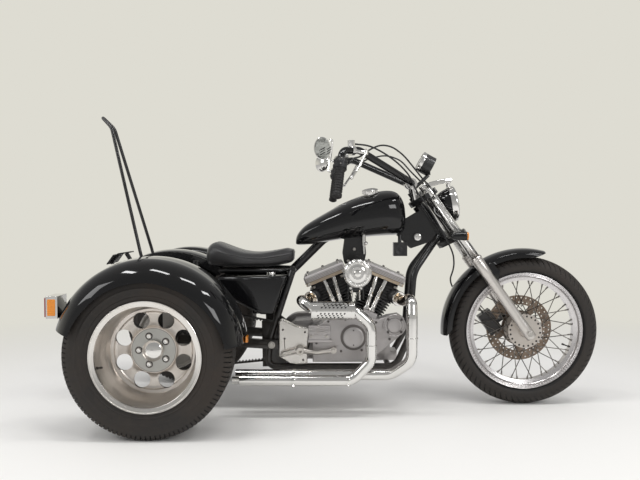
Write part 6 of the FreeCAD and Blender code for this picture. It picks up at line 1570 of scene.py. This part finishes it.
class TRIKE_OT_controls(Operator):
    """Make the grip ribs, end caps, switch buttons, lever pivots and the faces of the mirrors"""
    bl_idname = "trike.controls"
    bl_label = "Hand Controls"

    def execute(self, context):
        ribs, buttons, trim, slots, glass = (Shape() for step in range(5))
        toe = math.radians(52)
        for side in (-1, 1):
            end, run = at(-33.1, side * 428, 905.5), unit((23, -side * 86, 180))
            for along in [6] + list(range(20, 112, 11)):
                ring(ribs, [(-2.2, 18.2), (-1.4, 19.6), (1.4, 19.6), (2.2, 18.2)], end + run * along * MM, run, 40)
            knob(ribs, end + run * 0.002, -run, 19.6, 6, 1.5, 40)
            knob(trim, end - run * 0.004, -run, 3.4, 1)
            for along in (118, 140, 161):
                ring(buttons, [(-1.0, 25.6), (-1.0, 26.7), (1.0, 26.7), (1.0, 25.6)], end + run * along * MM, run, 48)
            rider = unit(-X + run * run[0])
            outer = unit(side * Y - run * run[1] * side)
            for along, turn in ((127, 0.25), (127, -0.35), (151, 0.1)):
                way = unit(rider + turn * outer)
                knob(buttons, end + run * along * MM + way * 0.0252, way, 4.8, 4.2, 1, 20)
            bolts(trim, socket_bolt(5.2), [end + run * along * MM + outer * 0.0256 for along in (128, 153)], outer)
            bolts(trim, hex_bolt(11), [at(83.9, side * 318, 1087.4)], Z)
            bolts(trim, socket_bolt(6.5), [at(27.7 + step, side * 306.4, 1107) for step in (-12, 12)], Z)
            head = at(-86.1, side * 424, 1086.5)
            ahead = np.array([math.cos(toe), side * math.sin(toe), 0])
            wide = np.cross(ahead, Z)
            plate(glass, circle(0, 0, (38, 41), 48), 0, 1.2, head - ahead * 0.003, wide, Z, 0.4)
            for step in range(3):
                f = np.linspace(0, 1, 14)
                a, b = 4 + 24 * f, -24 + 9 * step + 13 * f
                deep = 20 * np.sqrt(1 - (a / 41) ** 2 - (b / 44) ** 2) - 0.4
                tube(slots, head + (deep[:, None] * ahead + side * a[:, None] * wide + b[:, None] * Z) * MM,
                     np.interp(f, (0, 0.1, 0.9, 1), (0.4, 1.7, 1.7, 0.4)), 8)
        ribs.make("grip_ribs", "hand_grips", "rubber")
        buttons.make("switch_buttons", "hand_controls", "rubber")
        trim.make("control_screws", "hand_levers", "steel")
        slots.make("mirror_slots", "hand_controls", "dial")
        glass.make("mirror_glass", "mirrors", "mirror")
        return {"FINISHED"}


class TRIKE_OT_tank(Operator):
    """Make the fuel cap's dome and ribs, the fuel tap and the ignition switch's face"""
    bl_idname = "trike.tank"
    bl_label = "Tank Fittings"

    def execute(self, context):
        cap, tap, horn = Shape(), Shape(), Shape()
        top, axis = at(118, -57, 940), unit((-2, -3, 14))
        u, w = across(axis)
        lathe(cap, [(-0.5, 29), (1.4, 28.4), (3.4, 24), (4.6, 14), (4.9, 4)], top, axis, 56)
        for a in np.linspace(0, TAU, 22, endpoint=False):
            foot = top + (u * math.cos(a) + w * math.sin(a)) * 0.0322
            tube(cap, [foot - axis * down for down in (0.0125, 0.006, 0.0012)], 2.9, 10)
        cap.make("cap_dome", "filler_caps", "chrome")
        tube(tap, [at(92, -72, 748), at(92, -74, 724), at(92, -76, 700)], (7.5, 8.5, 7), 20)
        lathe(tap, [(0, 9), (7, 9), (8, 7)], at(92, -72, 728), Z, 6)
        tube(tap, [at(92, -76, 702), at(92, -77, 684), at(93, -78, 664)], (5.4, 4.6, 4.6), 16)
        angle = np.linspace(0.08, math.pi - 0.08, 12)[:, None]
        tube(tap, [at(94, -80, 712), at(97, -84, 712), at(99, -88, 711)], 3.2, 10)
        lathe(tap, 7.8 * np.concatenate([-np.cos(angle), np.sin(angle)], 1), at(100, -90, 711), unit((1, -3, 0)), 28)
        tap.make("fuel_tap", "filler_caps", "chrome")
        lathe(horn, [(-0.4, 25), (1.6, 25), (2.6, 24), (2.2, 19), (1.0, 17), (1.0, 9), (2.6, 7), (3, 3)],
              at(250, -72, 684), -Y, 56)
        bolts(horn, socket_bolt(6), [at(250 + i, -72, 684 + j) for i in (-23, 23) for j in (-23, 23)], -Y)
        horn.make("horn_face", "horn_and_switch", "plastic")
        switch = Shape()
        lathe(switch, [(-9, 15.2), (2, 15.2), (4.4, 14), (5.4, 11.6), (5.4, 8.6), (3.2, 8.2), (3.2, 6.8), (4.4, 6.2),
                       (4.6, 3)], at(324, -65.8, 737), -Y, 48)
        for a in np.linspace(0, TAU, 20, endpoint=False):
            foot = at(324 + 15 * math.cos(a), -65.8, 737 + 15 * math.sin(a))
            tube(switch, [foot + Y * 0.008, foot, foot - Y * 0.0015], 1.3, 8)
        switch.make("ignition_face", "filler_caps", "chrome")
        return {"FINISHED"}


class TRIKE_OT_rear(Operator):
    """Make the side lenses, the coil springs with their dampers and the small bolts of the rear"""
    bl_idname = "trike.rear"
    bl_label = "Rear Fittings"

    def execute(self, context):
        lens, dampers, springs, fixings = Shape(), Shape(), Shape(), Shape()
        low, high = corners("tail_lamps")
        back, front = low[0] / MM + 6, high[0] / MM - 8
        outline = softened([(back, 458), (front, 458), (front, 520), (back, 520)], 4)
        plate(lens, outline, -0.4, 1.6, Y * low[1], X, Z, 0.5)
        plate(lens, outline * (-1, 1), -0.4, 1.6, Y * high[1], -X, Z, 0.5)
        lens.make("side_lenses", "lamp_lenses", "amber")
        for side in (-1, 1):
            foot, top = at(-665, side * 136, 330), at(-619, side * 136, 639)
            run, length = unit(top - foot), np.linalg.norm(top - foot) / MM
            u, w = across(run)
            waist = length * 0.55
            lathe(dampers, [(0, 13), (40, 13), (42, 17), (42, 27), (47, 27), (47, 15), (waist, 15), (waist, 9),
                            (length - 52, 9), (length - 52, 27), (length - 47, 27), (length - 42, 14), (length, 14)],
                  foot, run, 32)
            coils, wire = 9, around(10)
            t = np.linspace(0, 1, coils * 24 + 1)[:, None]
            spoke = np.cos(t * coils * TAU) * u + np.sin(t * coils * TAU) * w
            path = foot + run * (50.5 + t * (length - 106)) * MM + 0.0228 * spoke
            rise = np.cross(unit(np.gradient(path, axis=0)), spoke)
            body = path[:, None] + 0.0037 * (np.cos(wire) * spoke[:, None] + np.sin(wire) * rise[:, None])
            last = (len(path) - 1) * 10
            springs.add(body, quads(len(path), 10), np.arange(10)[None, ::-1], last + np.arange(10)[None])
        dampers.make("damper_bodies", "shock_absorbers", "satin", ("shock_absorbers",))
        springs.make("coil_springs", "filler_caps", "chrome")
        cap = corners("swingarm")
        pivot = at(-301, 0, 286)
        for side, edge in ((-1, cap[0][1]), (1, cap[1][1])):
            bolts(fixings, hex_bolt(24), [pivot * (1, 0, 1) + Y * (edge - side * 0.001)], Y * side)
        fixings.make("pivot_bolts", "drive_pulleys", "steel")
        return {"FINISHED"}


def area_light(name, place, towards, size, power):
    """A rectangular lamp at a place, turned towards another."""
    data = bpy.data.lights.new(name, "AREA")
    data.shape = "RECTANGLE"
    data.size, data.size_y = size
    data.energy = power
    lamp = bpy.data.objects.new(name, data)
    lamp.location = place
    lamp.rotation_euler = (Vector(towards) - Vector(place)).to_track_quat("-Z", "Y").to_euler()
    bpy.context.scene.collection.objects.link(lamp)


def floor_finish(stage):
    """Pale floor; further out the camera sees the plain backdrop in its place."""
    finish = Finish("Floor Finish", Roughness=0.6, Specular_IOR_Level=0.2)
    tree = finish.tree
    far = ramp(tree, vectors(tree, "LENGTH", place_of(tree)), 1.5, 3.4)
    finish.colour(tuple(stage.floor) + (1,))
    plain = add(tree, "ShaderNodeEmission")
    plain.inputs["Color"].default_value = (*stage.backdrop, 1)
    rays = add(tree, "ShaderNodeLightPath").outputs
    shown = maths(tree, "MULTIPLY", far, rays["Is Camera Ray"])
    mix = add(tree, "ShaderNodeMixShader")
    feed(tree, mix.inputs[0], shown)
    tree.links.new(finish.shader.outputs[0], mix.inputs[1])
    tree.links.new(plain.outputs[0], mix.inputs[2])
    tree.links.new(mix.outputs[0], tree.nodes["Material Output"].inputs["Surface"])
    return finish.material


def surroundings(stage):
    """Even backdrop for the camera; for reflections it is darker low behind the viewer and pale overhead."""
    world = bpy.data.worlds.new("Surroundings")
    world.use_nodes = True
    tree = world.node_tree
    backdrop = tuple(stage.backdrop)
    way = parts(tree, add(tree, "ShaderNodeTexCoord").outputs["Generated"])
    low = blend(tree, ramp(tree, way["Y"], 0.15, -0.45), backdrop, (0.46, 0.455, 0.44))
    seen = blend(tree, ramp(tree, way["Z"], 0.10, 0.45), low, (0.36, 0.36, 0.355))
    rays = add(tree, "ShaderNodeLightPath").outputs
    mirrored = maths(tree, "ADD", rays["Is Glossy Ray"], rays["Is Transmission Ray"], clamp=True)
    lit = blend(tree, mirrored, (stage.sky, stage.sky, stage.sky * 1.02), seen)
    shown = blend(tree, rays["Is Camera Ray"], lit, backdrop)
    tree.links.new(shown, tree.nodes["Background"].inputs["Color"])
    bpy.context.scene.world = world


class TRIKE_OT_stage(Operator):
    """Set the floor, the lights, the surroundings and the camera"""
    bl_idname = "trike.stage"
    bl_label = "Stage"

    def execute(self, context):
        stage = context.scene.trike_stage
        half = 30.0
        mesh = bpy.data.meshes.new("floor")
        mesh.from_pydata([(-half, -half, 0), (half, -half, 0), (half, half, 0), (-half, half, 0)], [], [(0, 1, 2, 3)])
        mesh.materials.append(floor_finish(stage))
        floor = bpy.data.objects.new("floor", mesh)
        context.scene.collection.objects.link(floor)
        surroundings(stage)
        for step, x in enumerate((-2.1, -0.7, 0.7, 2.1)):
            area_light("ceiling_light_%d" % step, (x, -0.9, 3.5), (0.4 * x, 0, 0.4), (0.9, 0.28), stage.key / 4)
        area_light("front_light", (2.6, -3.0, 2.3), (0.2, 0, 0.5), (1.6, 1.2), stage.fill)
        area_light("rear_light", (-3.2, -1.8, 2.2), (-0.4, 0, 0.5), (1.4, 1.2), stage.fill * 0.7)
        camera = bpy.data.cameras.new("Viewpoint")
        camera.sensor_width = 36.0
        camera.lens = stage.focal * camera.sensor_width / 640
        eye = bpy.data.objects.new("Viewpoint", camera)
        tilt = math.atan((240 - stage.horizon) / stage.focal)
        eye.location = (stage.camera_x, -stage.distance, stage.height)
        eye.rotation_euler = (math.pi / 2 - tilt, 0, 0)
        context.scene.collection.objects.link(eye)
        context.scene.camera = eye
        context.scene.view_settings.view_transform = "Standard"
        return {"FINISHED"}


class TRIKE_PT_panel(Panel):
    """Settings and steps of the trike"""
    bl_label = "Motorized Trike"
    bl_idname = "TRIKE_PT_panel"
    bl_space_type = "VIEW_3D"
    bl_region_type = "UI"
    bl_category = "Trike"

    def draw(self, context):
        for settings in (context.scene.trike_finish, context.scene.trike_shapes, context.scene.trike_stage):
            for name in settings.bl_rna.properties.keys():
                if name not in ("name", "rna_type"):
                    self.layout.prop(settings, name)
        for step in STEPS:
            self.layout.operator(step.bl_idname)


STEPS = (TRIKE_OT_stage, TRIKE_OT_finishes, TRIKE_OT_kept, TRIKE_OT_tyres, TRIKE_OT_rear_wheels, TRIKE_OT_front_wheel,
         TRIKE_OT_seat, TRIKE_OT_covers, TRIKE_OT_tops, TRIKE_OT_intake, TRIKE_OT_exhaust,
         TRIKE_OT_fork, TRIKE_OT_headlamp, TRIKE_OT_dial, TRIKE_OT_controls, TRIKE_OT_tank, TRIKE_OT_rear)
GROUPS = {"trike_finish": TrikeFinish, "trike_shapes": TrikeShapes, "trike_stage": TrikeStage}


def register():
    """Add the settings, the steps and the panel."""
    for group in GROUPS.values():
        bpy.utils.register_class(group)
    for name, group in GROUPS.items():
        setattr(bpy.types.Scene, name, PointerProperty(type=group))
    for step in (*STEPS, TRIKE_PT_panel):
        bpy.utils.register_class(step)


def unregister():
    """Take them out again."""
    for step in (TRIKE_PT_panel, *reversed(STEPS)):
        bpy.utils.unregister_class(step)
    for name, group in GROUPS.items():
        delattr(bpy.types.Scene, name)
        bpy.utils.unregister_class(group)


def main():
    """Register the add-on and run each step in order."""
    register()
    for step in STEPS:
        family, name = step.bl_idname.split(".")
        getattr(getattr(bpy.ops, family), name)()
    bpy.context.view_layer.update()


if __name__ == "__main__":
    main()
